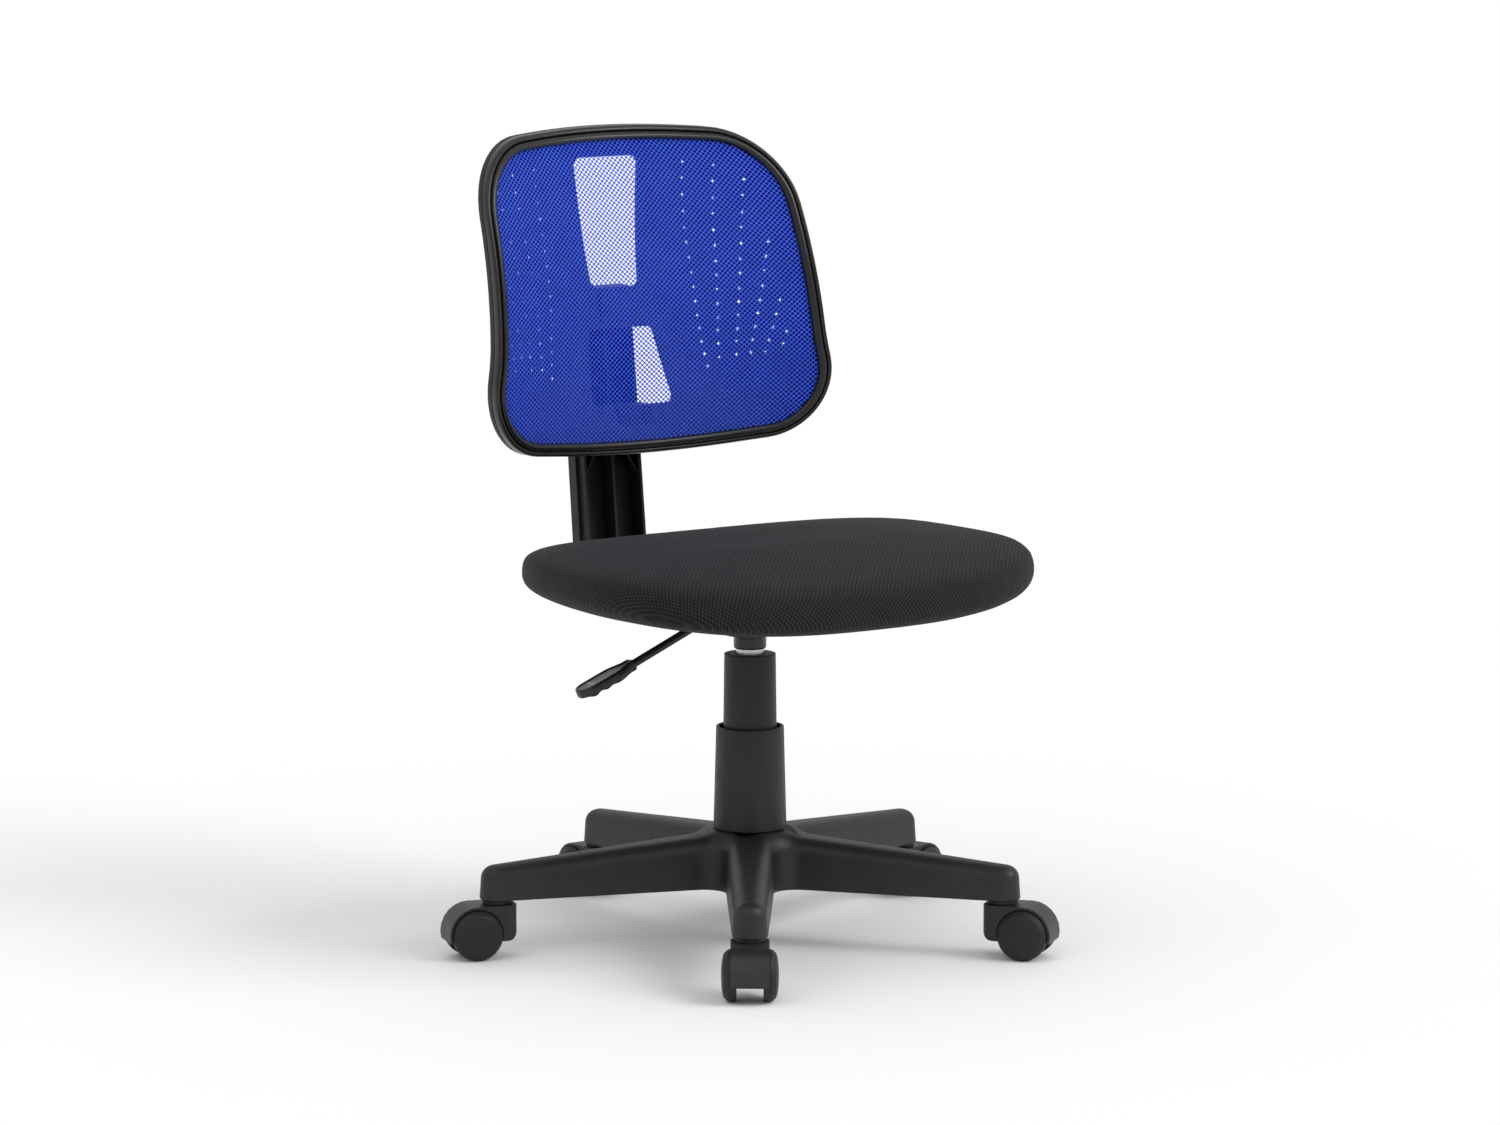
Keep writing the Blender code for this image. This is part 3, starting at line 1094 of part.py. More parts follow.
def back_bracket():
    """L-shaped ribbed bar: an arm under the seat board and an upright behind the shell."""
    half = BAR_HALF_WIDTH
    shelf = BAR_DEPTH * 0.45
    bar = join(prism(bar_side(0, shelf), -half, half, "X"),
               prism(bar_side(0, 0), BAR_STEP - half, half - BAR_STEP, "X"))
    raised = box((BAR_STEP - half, ARM_FRONT, ARM_TOP - BAR_WALL),
                 (half - BAR_STEP, max(ARM_SCREW_Y) + BOSS_RADIUS + BAR_WALL, BOARD_BOTTOM - GAP))
    bar = join(bar, raised)
    inner = half - BAR_STEP - BAR_WALL
    rib = BAR_RIB / 2
    clear_y = ARM_FRONT + BAR_WALL
    pocket_side = [(y, z) for y, z in bar_side(BAR_WALL, -BAR_DEPTH)]
    pocket_side = [(max(y, clear_y), min(z, BAR_TOP - BAR_WALL)) for y, z in pocket_side]
    pockets = [prism(pocket_side, a, b, "X") for a, b in ((-inner, -rib), (rib, inner))]
    bar = cut(bar, *pockets, solver="MANIFOLD")
    spots = [(placed(cylinder(BOSS_RADIUS, ARM_BOTTOM + BAR_WALL / 2, BOARD_BOTTOM - GAP, COARSE),
                     Matrix.Translation((0, y, 0)))) for y in ARM_SCREW_Y]
    web = BAR_DEPTH - BAR_WALL / 2
    for x, z in bracket_screw_spots():
        post = placed(cylinder(BOSS_RADIUS, -web, 0, COARSE), Matrix.Rotation(math.radians(90), 4, "X"))
        spots.append(placed(post, bar_frame() @ Matrix.Translation((x, 0, up_bar(z)))))
    spots += bar_ribs(inner + BAR_WALL / 2, web)
    bar = flared(join(bar, *spots, solver="MANIFOLD"))
    holes = [placed(cylinder(SCREW_RADIUS + GAP, ARM_BOTTOM - GAP, BOARD_BOTTOM + GAP, SCREW_SIDES),
                    Matrix.Translation((0, y, 0))) for y in ARM_SCREW_Y]
    for x, z in bracket_screw_spots():
        bore = placed(cylinder(SCREW_RADIUS + GAP, -BAR_DEPTH - BAR_WALL, BAR_WALL, SCREW_SIDES),
                      Matrix.Rotation(math.radians(90), 4, "X"))
        holes.append(placed(bore, bar_frame() @ Matrix.Translation((x, 0, up_bar(z)))))
    return cut(bar, *holes, solver="MANIFOLD")


def bar_ribs(inner, web):
    """Cross ribs with a pair of diagonals meeting at each, up the open front."""
    ribs = []
    for rise in BAR_CROSS_RIBS:
        level = up_bar(BACK_BOTTOM + rise)
        ribs.append(placed(box((-inner, BAR_RIB, level - BAR_RIB / 2), (inner, web, level + BAR_RIB / 2)),
                           bar_frame()))
    level = up_bar(BACK_BOTTOM + BAR_CROSS_RIBS[0])
    reach = math.hypot(inner, BAR_DIAGONAL_RISE)
    for sign in (1, -1):
        slant = Matrix.Rotation(sign * math.atan2(BAR_DIAGONAL_RISE, inner), 4, "Y")
        strip = box((-reach, BAR_RIB * 1.5, -BAR_RIB / 3), (reach, web, BAR_RIB / 3))
        ribs.append(placed(strip, bar_frame() @ Matrix.Translation((0, 0, level)) @ slant))
    return ribs


def back(seat, looks):
    link("back_frame", back_frame(), looks["frame"], seat)
    link("back_mesh", back_mesh(), looks["mesh"], seat)
    link("back_shell", back_shell(), looks["shell"], seat)
    link("back_bracket", back_bracket(), looks["shell"], seat)
    arm_bolt = screw(BOARD_BOTTOM + SCREW_BITE - ARM_BOTTOM)
    for i, y in enumerate(ARM_SCREW_Y, start=1):
        link(f"arm_screw_{i}", arm_bolt, looks["steel"], seat, (0, y, ARM_BOTTOM - GAP))
    upright = empty("bracket_upright", seat, (0, BAR_FRONT_Y, BAR_REF_Z), (-BAR_LEAN, 0, 0))
    bolt = placed(screw(BAR_DEPTH + SCREW_BITE), Matrix.Rotation(math.radians(90), 4, "X"))
    for i, (x, z) in enumerate(bracket_screw_spots(), start=1):
        link(f"bracket_screw_{i}", bolt, looks["steel"], upright, (x, BAR_DEPTH + GAP, up_bar(z)))


def build():
    for obj in list(bpy.data.objects):
        bpy.data.objects.remove(obj)
    looks = make_materials()
    x, y = column_position()
    chair = empty("chair", location=(x, y, BASE_HEIGHT))
    link("star_base", star_base(), looks["nylon"], chair)
    castors(chair, looks)
    seat = gas_lift(chair, looks)
    mechanism(seat, looks)
    link("seat_board", seat_board(), looks["board"], seat)
    link("seat_cushion", seat_cushion(), looks["fabric"], seat)
    back(seat, looks)


build()
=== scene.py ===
"""Swivel office chair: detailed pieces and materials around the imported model.

Metres, +Z up; the chair faces -Y. Plan positions are from the lift column's axis and
heights are from the floor.
"""

import math

import bmesh
import bpy
from mathutils import Matrix, Vector


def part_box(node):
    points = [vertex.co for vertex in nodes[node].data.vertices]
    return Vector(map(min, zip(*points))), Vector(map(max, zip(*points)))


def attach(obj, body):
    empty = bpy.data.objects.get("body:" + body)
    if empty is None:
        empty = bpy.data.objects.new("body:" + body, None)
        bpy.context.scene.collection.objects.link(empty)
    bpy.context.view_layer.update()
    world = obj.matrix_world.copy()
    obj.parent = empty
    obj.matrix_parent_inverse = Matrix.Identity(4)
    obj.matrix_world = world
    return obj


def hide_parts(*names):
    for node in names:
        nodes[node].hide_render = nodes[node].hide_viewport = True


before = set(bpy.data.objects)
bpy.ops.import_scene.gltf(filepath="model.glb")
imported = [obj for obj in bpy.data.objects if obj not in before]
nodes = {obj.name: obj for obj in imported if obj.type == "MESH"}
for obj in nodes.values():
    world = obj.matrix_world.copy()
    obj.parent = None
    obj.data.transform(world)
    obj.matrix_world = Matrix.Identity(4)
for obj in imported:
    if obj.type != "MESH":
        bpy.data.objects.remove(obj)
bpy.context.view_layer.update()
SMOOTH_ANGLE = math.radians(38)
WELD_REACH = 0.000005
TUBE_LOW, TUBE_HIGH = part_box("stand_tube")
COLUMN = Vector(((TUBE_LOW.x + TUBE_HIGH.x) / 2, (TUBE_LOW.y + TUBE_HIGH.y) / 2, 0))


# ---- camera

CAMERA_AZIMUTH, CAMERA_PITCH = math.radians(-34), math.radians(8.49)
CAMERA_DISTANCE, CAMERA_AIM_HEIGHT = 6.02, 0.3775
CAMERA_SENSOR, CAMERA_LENS = 36, 146.9              # both in millimetres


def in_scene(name, data):
    made = bpy.data.objects.new(name, data)
    bpy.context.scene.collection.objects.link(made)
    return made


def make_camera():
    azimuth, pitch = CAMERA_AZIMUTH, CAMERA_PITCH
    target = COLUMN + Vector((0, 0, CAMERA_AIM_HEIGHT))
    away = Vector((math.sin(azimuth) * math.cos(pitch), -math.cos(azimuth) * math.cos(pitch),
                   math.sin(pitch)))
    data = bpy.data.cameras.new("camera")
    data.sensor_width = CAMERA_SENSOR
    data.lens = CAMERA_LENS
    camera = in_scene("camera", data)
    camera.location = target + away * CAMERA_DISTANCE
    camera.rotation_euler = (-away).to_track_quat("-Z", "Y").to_euler()
    bpy.context.scene.camera = camera


# ---- material nodes

def new_material(name, colour, roughness, metallic=0.0):
    made = bpy.data.materials.new(name)
    made.use_nodes = True
    tree = made.node_tree
    shader = tree.nodes["Principled BSDF"]
    shader.inputs["Base Color"].default_value = (*colour, 1)
    shader.inputs["Roughness"].default_value = roughness
    shader.inputs["Metallic"].default_value = metallic
    shader.inputs["Specular IOR Level"].default_value = 0.36
    return made, tree, shader


def add_node(tree, kind, inputs=None, **settings):
    made = tree.nodes.new("ShaderNode" + kind)
    for key, value in settings.items():
        setattr(made, key, value)
    for key, value in (inputs or {}).items():
        if isinstance(value, bpy.types.NodeSocket):
            tree.links.new(value, made.inputs[key])
        else:
            made.inputs[key].default_value = value
    return made


def place(tree, stretch=(1, 1, 1), turn=(0, 0, 0)):
    """Object coordinates, stretched and turned."""
    coords = add_node(tree, "TexCoord")
    return add_node(tree, "Mapping", {"Vector": coords.outputs["Object"], "Scale": stretch,
                                      "Rotation": turn}).outputs["Vector"]


def noise(tree, scale, detail=2.0, vector=None):
    made = add_node(tree, "TexNoise", {"Scale": scale, "Detail": detail,
                                       "Vector": vector or place(tree)})
    return made.outputs["Fac"]


def spread(tree, value, low, high, start=0.3, end=0.7):
    made = add_node(tree, "MapRange", {"Value": value, "From Min": start, "From Max": end,
                                       "To Min": low, "To Max": high})
    return made.outputs["Result"]


def blend_colours(tree, share, first, second):
    made = add_node(tree, "Mix", data_type="RGBA")
    tree.links.new(share, made.inputs["Factor"])
    for key, value in ((6, first), (7, second)):
        if isinstance(value, bpy.types.NodeSocket):
            tree.links.new(value, made.inputs[key])
        else:
            made.inputs[key].default_value = (*value, 1)
    return made.outputs[2]


def scaled(colour, factor):
    return tuple(min(1.0, c * factor) for c in colour)


def shaded(tree, value, colour, low, high, start=0.3, end=0.7):
    """A colour between two of its strengths, following a value."""
    return blend_colours(tree, spread(tree, value, 0, 1, start, end), scaled(colour, low),
                         scaled(colour, high))


def bumped(tree, shader, height, distance, strength=1.0, before=None):
    inputs = {"Height": height, "Distance": distance, "Strength": strength}
    if before:
        inputs["Normal"] = before
    made = add_node(tree, "Bump", inputs)
    tree.links.new(made.outputs["Normal"], shader.inputs["Normal"])
    return made.outputs["Normal"]


def plastic(name, colour, roughness, grain=1500, depth=0.00006, wear=0.5, sheen=0.0):
    """Moulded plastic: fine spark-eroded grain, cloudy shade, faint scuffs, rubbed edges."""
    made, tree, shader = new_material(name, colour, roughness)
    cloud = noise(tree, 22, 3)
    scuff = noise(tree, 1, 4, place(tree, (170, 170, 60)))
    shade = shaded(tree, cloud, colour, 0.86, 1.16)
    edge = add_node(tree, "NewGeometry").outputs["Pointiness"]
    rub = spread(tree, edge, 0, wear, 0.52, 0.62)
    shade = blend_colours(tree, rub, shade, scaled(colour, 2.2))
    tree.links.new(shade, shader.inputs["Base Color"])
    rough = spread(tree, scuff, roughness - 0.03, roughness + 0.05)
    tree.links.new(rough, shader.inputs["Roughness"])
    pits = noise(tree, grain, 2)
    bumped(tree, shader, pits, depth, 0.9)
    shader.inputs["Sheen Weight"].default_value = sheen
    return made


def steel(name, colour, roughness, rings=True):
    """Bright metal with fine turning lines and slight smears."""
    made, tree, shader = new_material(name, colour, roughness, 1.0)
    lines = noise(tree, 1, 3, place(tree, (60, 60, 4200) if rings else (900, 900, 900)))
    smear = noise(tree, 45, 4)
    rough = spread(tree, smear, roughness - 0.06, roughness + 0.12)
    tree.links.new(rough, shader.inputs["Roughness"])
    tree.links.new(shaded(tree, lines, colour, 0.85, 1.0), shader.inputs["Base Color"])
    bumped(tree, shader, lines, 0.00002, 0.6)
    return made


def painted(name, colour, roughness):
    """Powder-coated steel with orange peel."""
    made, tree, shader = new_material(name, colour, roughness, 0.1)
    peel = noise(tree, 620, 2)
    cloud = noise(tree, 30, 3)
    tree.links.new(spread(tree, cloud, roughness - 0.05, roughness + 0.08), shader.inputs["Roughness"])
    tree.links.new(shaded(tree, cloud, colour, 0.85, 1.2), shader.inputs["Base Color"])
    bumped(tree, shader, peel, 0.00012, 0.8)
    shader.inputs["Coat Weight"].default_value = 0.15
    return made


def rubber(name, colour):
    made, tree, shader = new_material(name, colour, 0.85)
    dust = noise(tree, 60, 5)
    tree.links.new(shaded(tree, dust, colour, 0.8, 1.6), shader.inputs["Base Color"])
    bumped(tree, shader, noise(tree, 900, 3), 0.0001, 0.8)
    return made


def plywood(name, colour):
    """Stained board: long grain along X and thin layers up its edges."""
    made, tree, shader = new_material(name, colour, 0.7)
    grain = noise(tree, 1, 5, place(tree, (9, 160, 30)))
    layers = add_node(tree, "TexWave", {"Vector": place(tree), "Scale": 220, "Distortion": 0.6,
                                        "Detail": 1.0}, bands_direction="Z").outputs["Fac"]
    stripe = shaded(tree, grain, colour, 0.6, 1.3, 0.35, 0.65)
    shade = blend_colours(tree, spread(tree, layers, 0, 0.45, 0.2, 0.9), stripe, scaled(colour, 0.45))
    tree.links.new(shade, shader.inputs["Base Color"])
    bumped(tree, shader, grain, 0.0002, 0.7)
    return made


def hole_mask(tree, vector, pitch, hole):
    """0 in the middle of each hole of a staggered lattice in U and V, 1 on the yarn."""
    distances = []
    for stagger in (0.0, 0.5):
        cell = vector
        for operation, a, b in (("MULTIPLY", 1 / pitch[0], 1 / pitch[1]), ("ADD", stagger, stagger),
                                ("FRACTION", 0, 0), ("SUBTRACT", 0.5, 0.5),
                                ("MULTIPLY", pitch[0] / hole[0], pitch[1] / hole[1])):
            cell = add_node(tree, "VectorMath", {0: cell, 1: (a, b, 0)}, operation=operation).outputs[0]
        distances.append(add_node(tree, "VectorMath", {0: cell}, operation="LENGTH").outputs["Value"])
    nearest = add_node(tree, "Math", {0: distances[0], 1: distances[1]}, operation="MINIMUM").outputs[0]
    return spread(tree, nearest, 0, 1, 0.62, 1.25), nearest


FABRIC_PITCH, FABRIC_HOLE_HALF = (0.0046, 0.0056), (0.00142, 0.00168)


def spacer_fabric(name, colour):
    """Knitted spacer cloth: staggered holes painted nearly black as shade, between raised yarn whose ridges
    carry a painted highlight, with a soft sheen.
    """
    made, tree, shader = new_material(name, colour, 0.78)
    at = add_node(tree, "Attribute", attribute_name="weave").outputs["Vector"]
    mask, nearest = hole_mask(tree, at, FABRIC_PITCH, FABRIC_HOLE_HALF)
    cloud = noise(tree, 30, 3)
    fuzz = noise(tree, 2600, 2)
    yarn = shaded(tree, cloud, colour, 0.85, 1.15)
    # painted highlight: the yarn is lightened up to double along the ridges between holes
    crest_highlight = spread(tree, nearest, 0, 1, 1.1, 1.8)
    yarn = blend_colours(tree, crest_highlight, yarn, scaled(colour, 2.0))
    # painted shade: each hole is coloured nearly black for the shadow down inside it
    shade = blend_colours(tree, mask, scaled(colour, 0.03), yarn)
    tree.links.new(shade, shader.inputs["Base Color"])
    first = add_node(tree, "Bump", {"Height": nearest, "Distance": 0.0006, "Strength": 0.9})
    bumped(tree, shader, fuzz, 0.0001, 0.5, first.outputs["Normal"])
    shader.inputs["Sheen Weight"].default_value = 0.035
    shader.inputs["Sheen Roughness"].default_value = 0.45
    shader.inputs["Specular IOR Level"].default_value = 0.22
    return made


def net_yarn(name, colour):
    """Twisted polyester yarn of the back's net."""
    made, tree, shader = new_material(name, colour, 0.62)
    twist = add_node(tree, "TexWave", {"Vector": place(tree, turn=(0.6, 0.9, 0.4)), "Scale": 420,
                                       "Distortion": 1.5, "Detail": 2.0}).outputs["Fac"]
    cloud = noise(tree, 40, 3)
    body = shaded(tree, cloud, colour, 0.88, 1.1)
    shade = blend_colours(tree, spread(tree, twist, 0, 0.35, 0.2, 0.8), body, scaled(colour, 0.80))
    tree.links.new(shade, shader.inputs["Base Color"])
    bumped(tree, shader, twist, 0.00015, 0.6)
    shader.inputs["Specular IOR Level"].default_value = 0.12
    return made


def make_looks():
    return {
        "base_nylon": plastic("base_nylon_look", (0.013, 0.013, 0.0135), 0.46, 1100, 0.00007),
        "wheel_nylon": plastic("wheel_nylon_look", (0.009, 0.009, 0.0095), 0.50, 1300, 0.00008),
        "hood_nylon": plastic("hood_nylon_look", (0.013, 0.013, 0.0135), 0.40, 1300, 0.00006),
        "cover_plastic": plastic("cover_plastic_look", (0.012, 0.012, 0.0125), 0.48, 1300, 0.00007),
        "frame_plastic": plastic("frame_plastic_look", (0.009, 0.009, 0.009), 0.27, 1500, 0.00003),
        "shell_plastic": plastic("shell_plastic_look", (0.006, 0.006, 0.007), 0.55, 900, 0.0001),
        "black_painted_steel": painted("painted_steel_look", (0.010, 0.010, 0.010), 0.34),
        "bright_steel": steel("bright_steel_look", (0.58, 0.58, 0.60), 0.26),
        "black_rubber": rubber("rubber_look", (0.012, 0.012, 0.012)),
        "grey_acetal": plastic("acetal_look", (0.14, 0.14, 0.14), 0.42, 700, 0.00003, 0.2),
        "seat_fabric": spacer_fabric("seat_fabric_look", (0.0165, 0.0165, 0.0167)),
        "blue_mesh": net_yarn("blue_net_look", (0.040, 0.118, 1.0)),
        "plywood": plywood("board_look", (0.055, 0.052, 0.050)),
        "print": plastic("print_look", (0.62, 0.62, 0.62), 0.55, 1800, 0.00002, 0.0),
    }


# ---- shape tools

def to_mesh(points, faces, outward=True):
    mesh = bpy.data.meshes.new("shape")
    mesh.from_pydata([tuple(p) for p in points], [], faces)
    if outward:
        shape = bmesh.new()
        shape.from_mesh(mesh)
        bmesh.ops.recalc_face_normals(shape, faces=shape.faces)
        shape.to_mesh(mesh)
        shape.free()
    return smooth(mesh)


def smooth(mesh):
    mesh.shade_smooth()
    mesh.set_sharp_from_angle(angle=SMOOTH_ANGLE)
    return mesh


def bands(count, rows, wrap=False):
    """The faces between neighbouring loops, where each loop has the same count of points."""
    faces = []
    for i in range(rows if wrap else rows - 1):
        low, high = i * count, (i + 1) % rows * count
        faces += [(low + j, low + (j + 1) % count, high + (j + 1) % count, high + j)
                  for j in range(count)]
    return faces


def loft(loops, wrap=False):
    """A skin over closed loops of equal count, joined end to end or closed by two caps."""
    count = len(loops[0])
    points = [p for loop in loops for p in loop]
    faces = bands(count, len(loops), wrap)
    if not wrap:
        faces.append(tuple(range(count)))
        faces.append(tuple(range(len(points) - count, len(points))))
    return to_mesh(points, faces)


def soften(corners, radius, steps=3, closed=True):
    """Rounds each corner of a polyline by up to a radius."""
    made = []
    count = len(corners)
    for i, here in enumerate(corners):
        if not closed and i in (0, count - 1):
            made.append(tuple(here))
            continue
        here, back, ahead = (Vector(p) for p in (here, corners[i - 1], corners[(i + 1) % count]))
        start = here + (back - here).normalized() * min(radius, (back - here).length * 0.45)
        end = here + (ahead - here).normalized() * min(radius, (ahead - here).length * 0.45)
        for step in range(steps + 1):
            t = step / steps
            made.append(tuple(start * (1 - t) ** 2 + here * 2 * t * (1 - t) + end * t ** 2))
    return made


def turned(profile, sides=96, ring=True):
    """A profile of (radius, z) turned round Z, as a ring of closed section or a solid."""
    points, rows, faces = [], [], []
    for radius, z in profile:
        steps = sides if radius > 1e-7 else 1
        rows.append([len(points) + i for i in range(steps)])
        for i in range(steps):
            angle = 2 * math.pi * i / sides
            points.append((radius * math.cos(angle), radius * math.sin(angle), z))
    pairs = list(zip(rows, rows[1:])) + ([(rows[-1], rows[0])] if ring else [])
    for low, high in pairs:
        for i in range(sides):
            j = (i + 1) % sides
            quad = (low[i % len(low)], low[j % len(low)], high[j % len(high)], high[i % len(high)])
            faces.append(tuple(dict.fromkeys(quad)))
    return to_mesh(points, faces)


def arc(centre, radius, start, end, steps):
    angles = [start + (end - start) * i / steps for i in range(steps + 1)]
    return [(centre[0] + radius * math.cos(a), centre[1] + radius * math.sin(a)) for a in angles]


def tangent_lengths(corners):
    """How far each corner's arc reaches along its sides, where two arcs may share a side."""
    reach, sides = [], []
    for i, (a, b, radius) in enumerate(corners):
        here = Vector((a, b))
        back = Vector(corners[i - 1][:2]) - here
        ahead = Vector(corners[(i + 1) % len(corners)][:2]) - here
        reach.append(radius / math.tan(back.angle(ahead) / 2))
        sides.append(ahead.length)
    fits = []
    for i, length in enumerate(reach):
        before, after = length + reach[i - 1], length + reach[(i + 1) % len(reach)]
        share = min(1, sides[i - 1] / before if before else 1, sides[i] / after if after else 1)
        fits.append(length * share)
    return fits


def rounded(corners, steps=8):
    """A closed outline of (a, b, corner radius) with each corner an arc."""
    outline = []
    for i, reach in enumerate(tangent_lengths(corners)):
        here = Vector(corners[i][:2])
        if reach <= 0:
            outline.append(tuple(here))
            continue
        back = (Vector(corners[i - 1][:2]) - here).normalized()
        ahead = (Vector(corners[(i + 1) % len(corners)][:2]) - here).normalized()
        half = back.angle(ahead) / 2
        radius = reach * math.tan(half)
        centre = here + (back + ahead).normalized() * radius / math.sin(half)
        start = here + back * reach - centre
        end = here + ahead * reach - centre
        first = math.atan2(start.y, start.x)
        sweep = (math.atan2(end.y, end.x) - first + math.pi) % (2 * math.pi) - math.pi
        outline += arc(centre, radius, first, first + sweep, steps)
    return outline


def resampled(outline, spacing):
    """The same closed outline with points at an even spacing."""
    points = [Vector(p) for p in outline]
    lengths = [(points[(i + 1) % len(points)] - p).length for i, p in enumerate(points)]
    total = sum(lengths)
    count = max(8, round(total / spacing))
    made, i, walked = [], 0, 0.0
    for k in range(count):
        want = total * k / count
        while walked + lengths[i] < want:
            walked += lengths[i]
            i += 1
        share = (want - walked) / max(lengths[i], 1e-9)
        made.append(points[i].lerp(points[(i + 1) % len(points)], share))
    return made


def offset(outline, distance):
    """Moves each point of a counter-clockwise outline outwards."""
    made = []
    for i, here in enumerate(outline):
        back, ahead = Vector(outline[i - 1]), Vector(outline[(i + 1) % len(outline)])
        here = Vector(here)
        first, second = (here - back).normalized(), (ahead - here).normalized()
        normal = (Vector((first.y, -first.x)) + Vector((second.y, -second.x))).normalized()
        stretch = 1 / max(0.5, normal.dot(Vector((first.y, -first.x))))
        made.append(here + normal * distance * stretch)
    return made


def joined(*meshes):
    shape = bmesh.new()
    for mesh in meshes:
        shape.from_mesh(mesh)
    made = bpy.data.meshes.new("shape")
    shape.to_mesh(made)
    shape.free()
    return smooth(made)


def moved(mesh, matrix):
    mesh.transform(matrix)
    return mesh


def shift(x=0.0, y=0.0, z=0.0):
    return Matrix.Translation((x, y, z))


def evaluated(piece):
    """A new mesh of a piece with its modifiers applied."""
    graph = bpy.context.evaluated_depsgraph_get()
    return bpy.data.meshes.new_from_object(piece.evaluated_get(graph))


def boolean(target, tool, operation):
    first, second = in_scene("target", target), in_scene("cutter", tool)
    modifier = first.modifiers.new("boolean", "BOOLEAN")
    modifier.operation = operation
    modifier.solver = "MANIFOLD"
    modifier.object = second
    bpy.context.view_layer.update()
    result = evaluated(first)
    for obj in (first, second):
        bpy.data.objects.remove(obj)
    return smooth(result)


def add(name, mesh, body, slot, stands_for=(), look=None, local=True):
    """One piece of the chair; its mesh is given about the column's axis unless local is False."""
    if local:
        mesh.transform(Matrix.Translation(COLUMN))
    piece = in_scene(name, mesh)
    mesh.materials.clear()
    mesh.materials.append(looks[look or slot])
    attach(piece, body)
    if stands_for:
        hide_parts(*stands_for)
    return piece


def finish_node(name, look, bevel=0.0005, segments=2):
    """A carried-over CAD node: welded, its edges eased, and given its look."""
    node = nodes[name]
    mesh = node.data
    if "custom_normal" in mesh.attributes:
        mesh.attributes.remove(mesh.attributes["custom_normal"])
    mesh.shade_smooth()
    mesh.materials.clear()
    mesh.materials.append(looks[look])
    weld = node.modifiers.new("weld", "WELD")
    weld.merge_threshold = WELD_REACH
    ease = node.modifiers.new("ease", "BEVEL")
    ease.width = bevel
    ease.segments = segments
    ease.limit_method = "ANGLE"
    ease.angle_limit = SMOOTH_ANGLE
    ease.harden_normals = True
    ease.use_clamp_overlap = True


# ---- star base

LEG_COUNT, LEG_HEADING = 5, math.radians(-34)
CASTOR_CIRCLE = 0.260
LEG_BOTTOM, LEG_TIP_TOP, HUB_TOP = 0.0575, 0.0910, 0.1132
LEG_TIP_HALF, LEG_ROOT_HALF = 0.0173, 0.0240
HUB_RADIUS, CROTCH_RADIUS = 0.043, 0.022
LEG_WALL = 0.0035
HUB_COLLAR = 0.0040               # rise of the hub over the legs' ridge line
COLLAR_REACH, COLLAR_RUN = 0.013, 0.015
CROWN_DRAFT, CROWN_INSET, CROWN_DROP, CROWN_POWER, CROWN_STEPS = 0.0012, 0.0165, 0.0145, 1.12, 12
LIP_ROUND = 0.0006
FILLET_STEPS, SIDE_STEPS, TIP_STEPS = 10, 22, 16


def leg_headings():
    return [LEG_HEADING + 2 * math.pi * i / LEG_COUNT for i in range(LEG_COUNT)]


def leg_turn(heading):
    """Turn about Z that takes +X to a leg's direction."""
    return math.atan2(-math.cos(heading), math.sin(heading))


def on_leg(heading, along):
    return Vector((math.sin(heading), -math.cos(heading))) * along


def star_outline(inset):
    """Plan of the star moved in by an inset: for each leg a fillet, a side, the tip, a side."""
    slope = (LEG_ROOT_HALF - LEG_TIP_HALF) / (CASTOR_CIRCLE - HUB_RADIUS)
    half_pitch = math.pi / LEG_COUNT
    opening = half_pitch + math.atan(slope)
    reach = LEG_ROOT_HALF + HUB_RADIUS * slope
    corner = reach / (math.sin(half_pitch) + math.cos(half_pitch) * slope)
    crotch = corner + CROTCH_RADIUS / math.sin(opening)
    turn = math.pi / 2 - opening
    radius = CROTCH_RADIUS + inset
    outline = []
    for heading in leg_headings():
        out = leg_turn(heading)
        arcs = []
        for side in (-half_pitch, half_pitch):
            middle = out + side
            centre = Vector((math.cos(middle), math.sin(middle))) * crotch
            arcs.append(arc(centre, radius, middle + math.pi + turn, middle + math.pi - turn,
                            FILLET_STEPS))
        tip = arc(on_leg(heading, CASTOR_CIRCLE), max(LEG_TIP_HALF - inset, 0.0002),
                  out - math.pi / 2, out + math.pi / 2, TIP_STEPS)
        shares = [i / (SIDE_STEPS + 1) for i in range(1, SIDE_STEPS + 1)]
        rise = [Vector(arcs[0][-1]).lerp(Vector(tip[0]), s) for s in shares]
        fall = [Vector(tip[-1]).lerp(Vector(arcs[1][0]), s) for s in shares]
        outline += [Vector(p) for p in arcs[0]] + rise + [Vector(p) for p in tip] + fall
    return outline


def leg_top(point):
    """Ridge height over a plan point: straight along the leg, curving up into the hub."""
    radius = point.length
    run = min(max((radius - HUB_RADIUS) / (CASTOR_CIRCLE - HUB_RADIUS), 0), 1)
    ridge = HUB_TOP - HUB_COLLAR
    near = min(max((HUB_RADIUS + COLLAR_REACH - radius) / COLLAR_RUN, 0), 1)
    return ridge + (LEG_TIP_TOP - ridge) * run + HUB_COLLAR * near * near * (3 - 2 * near)


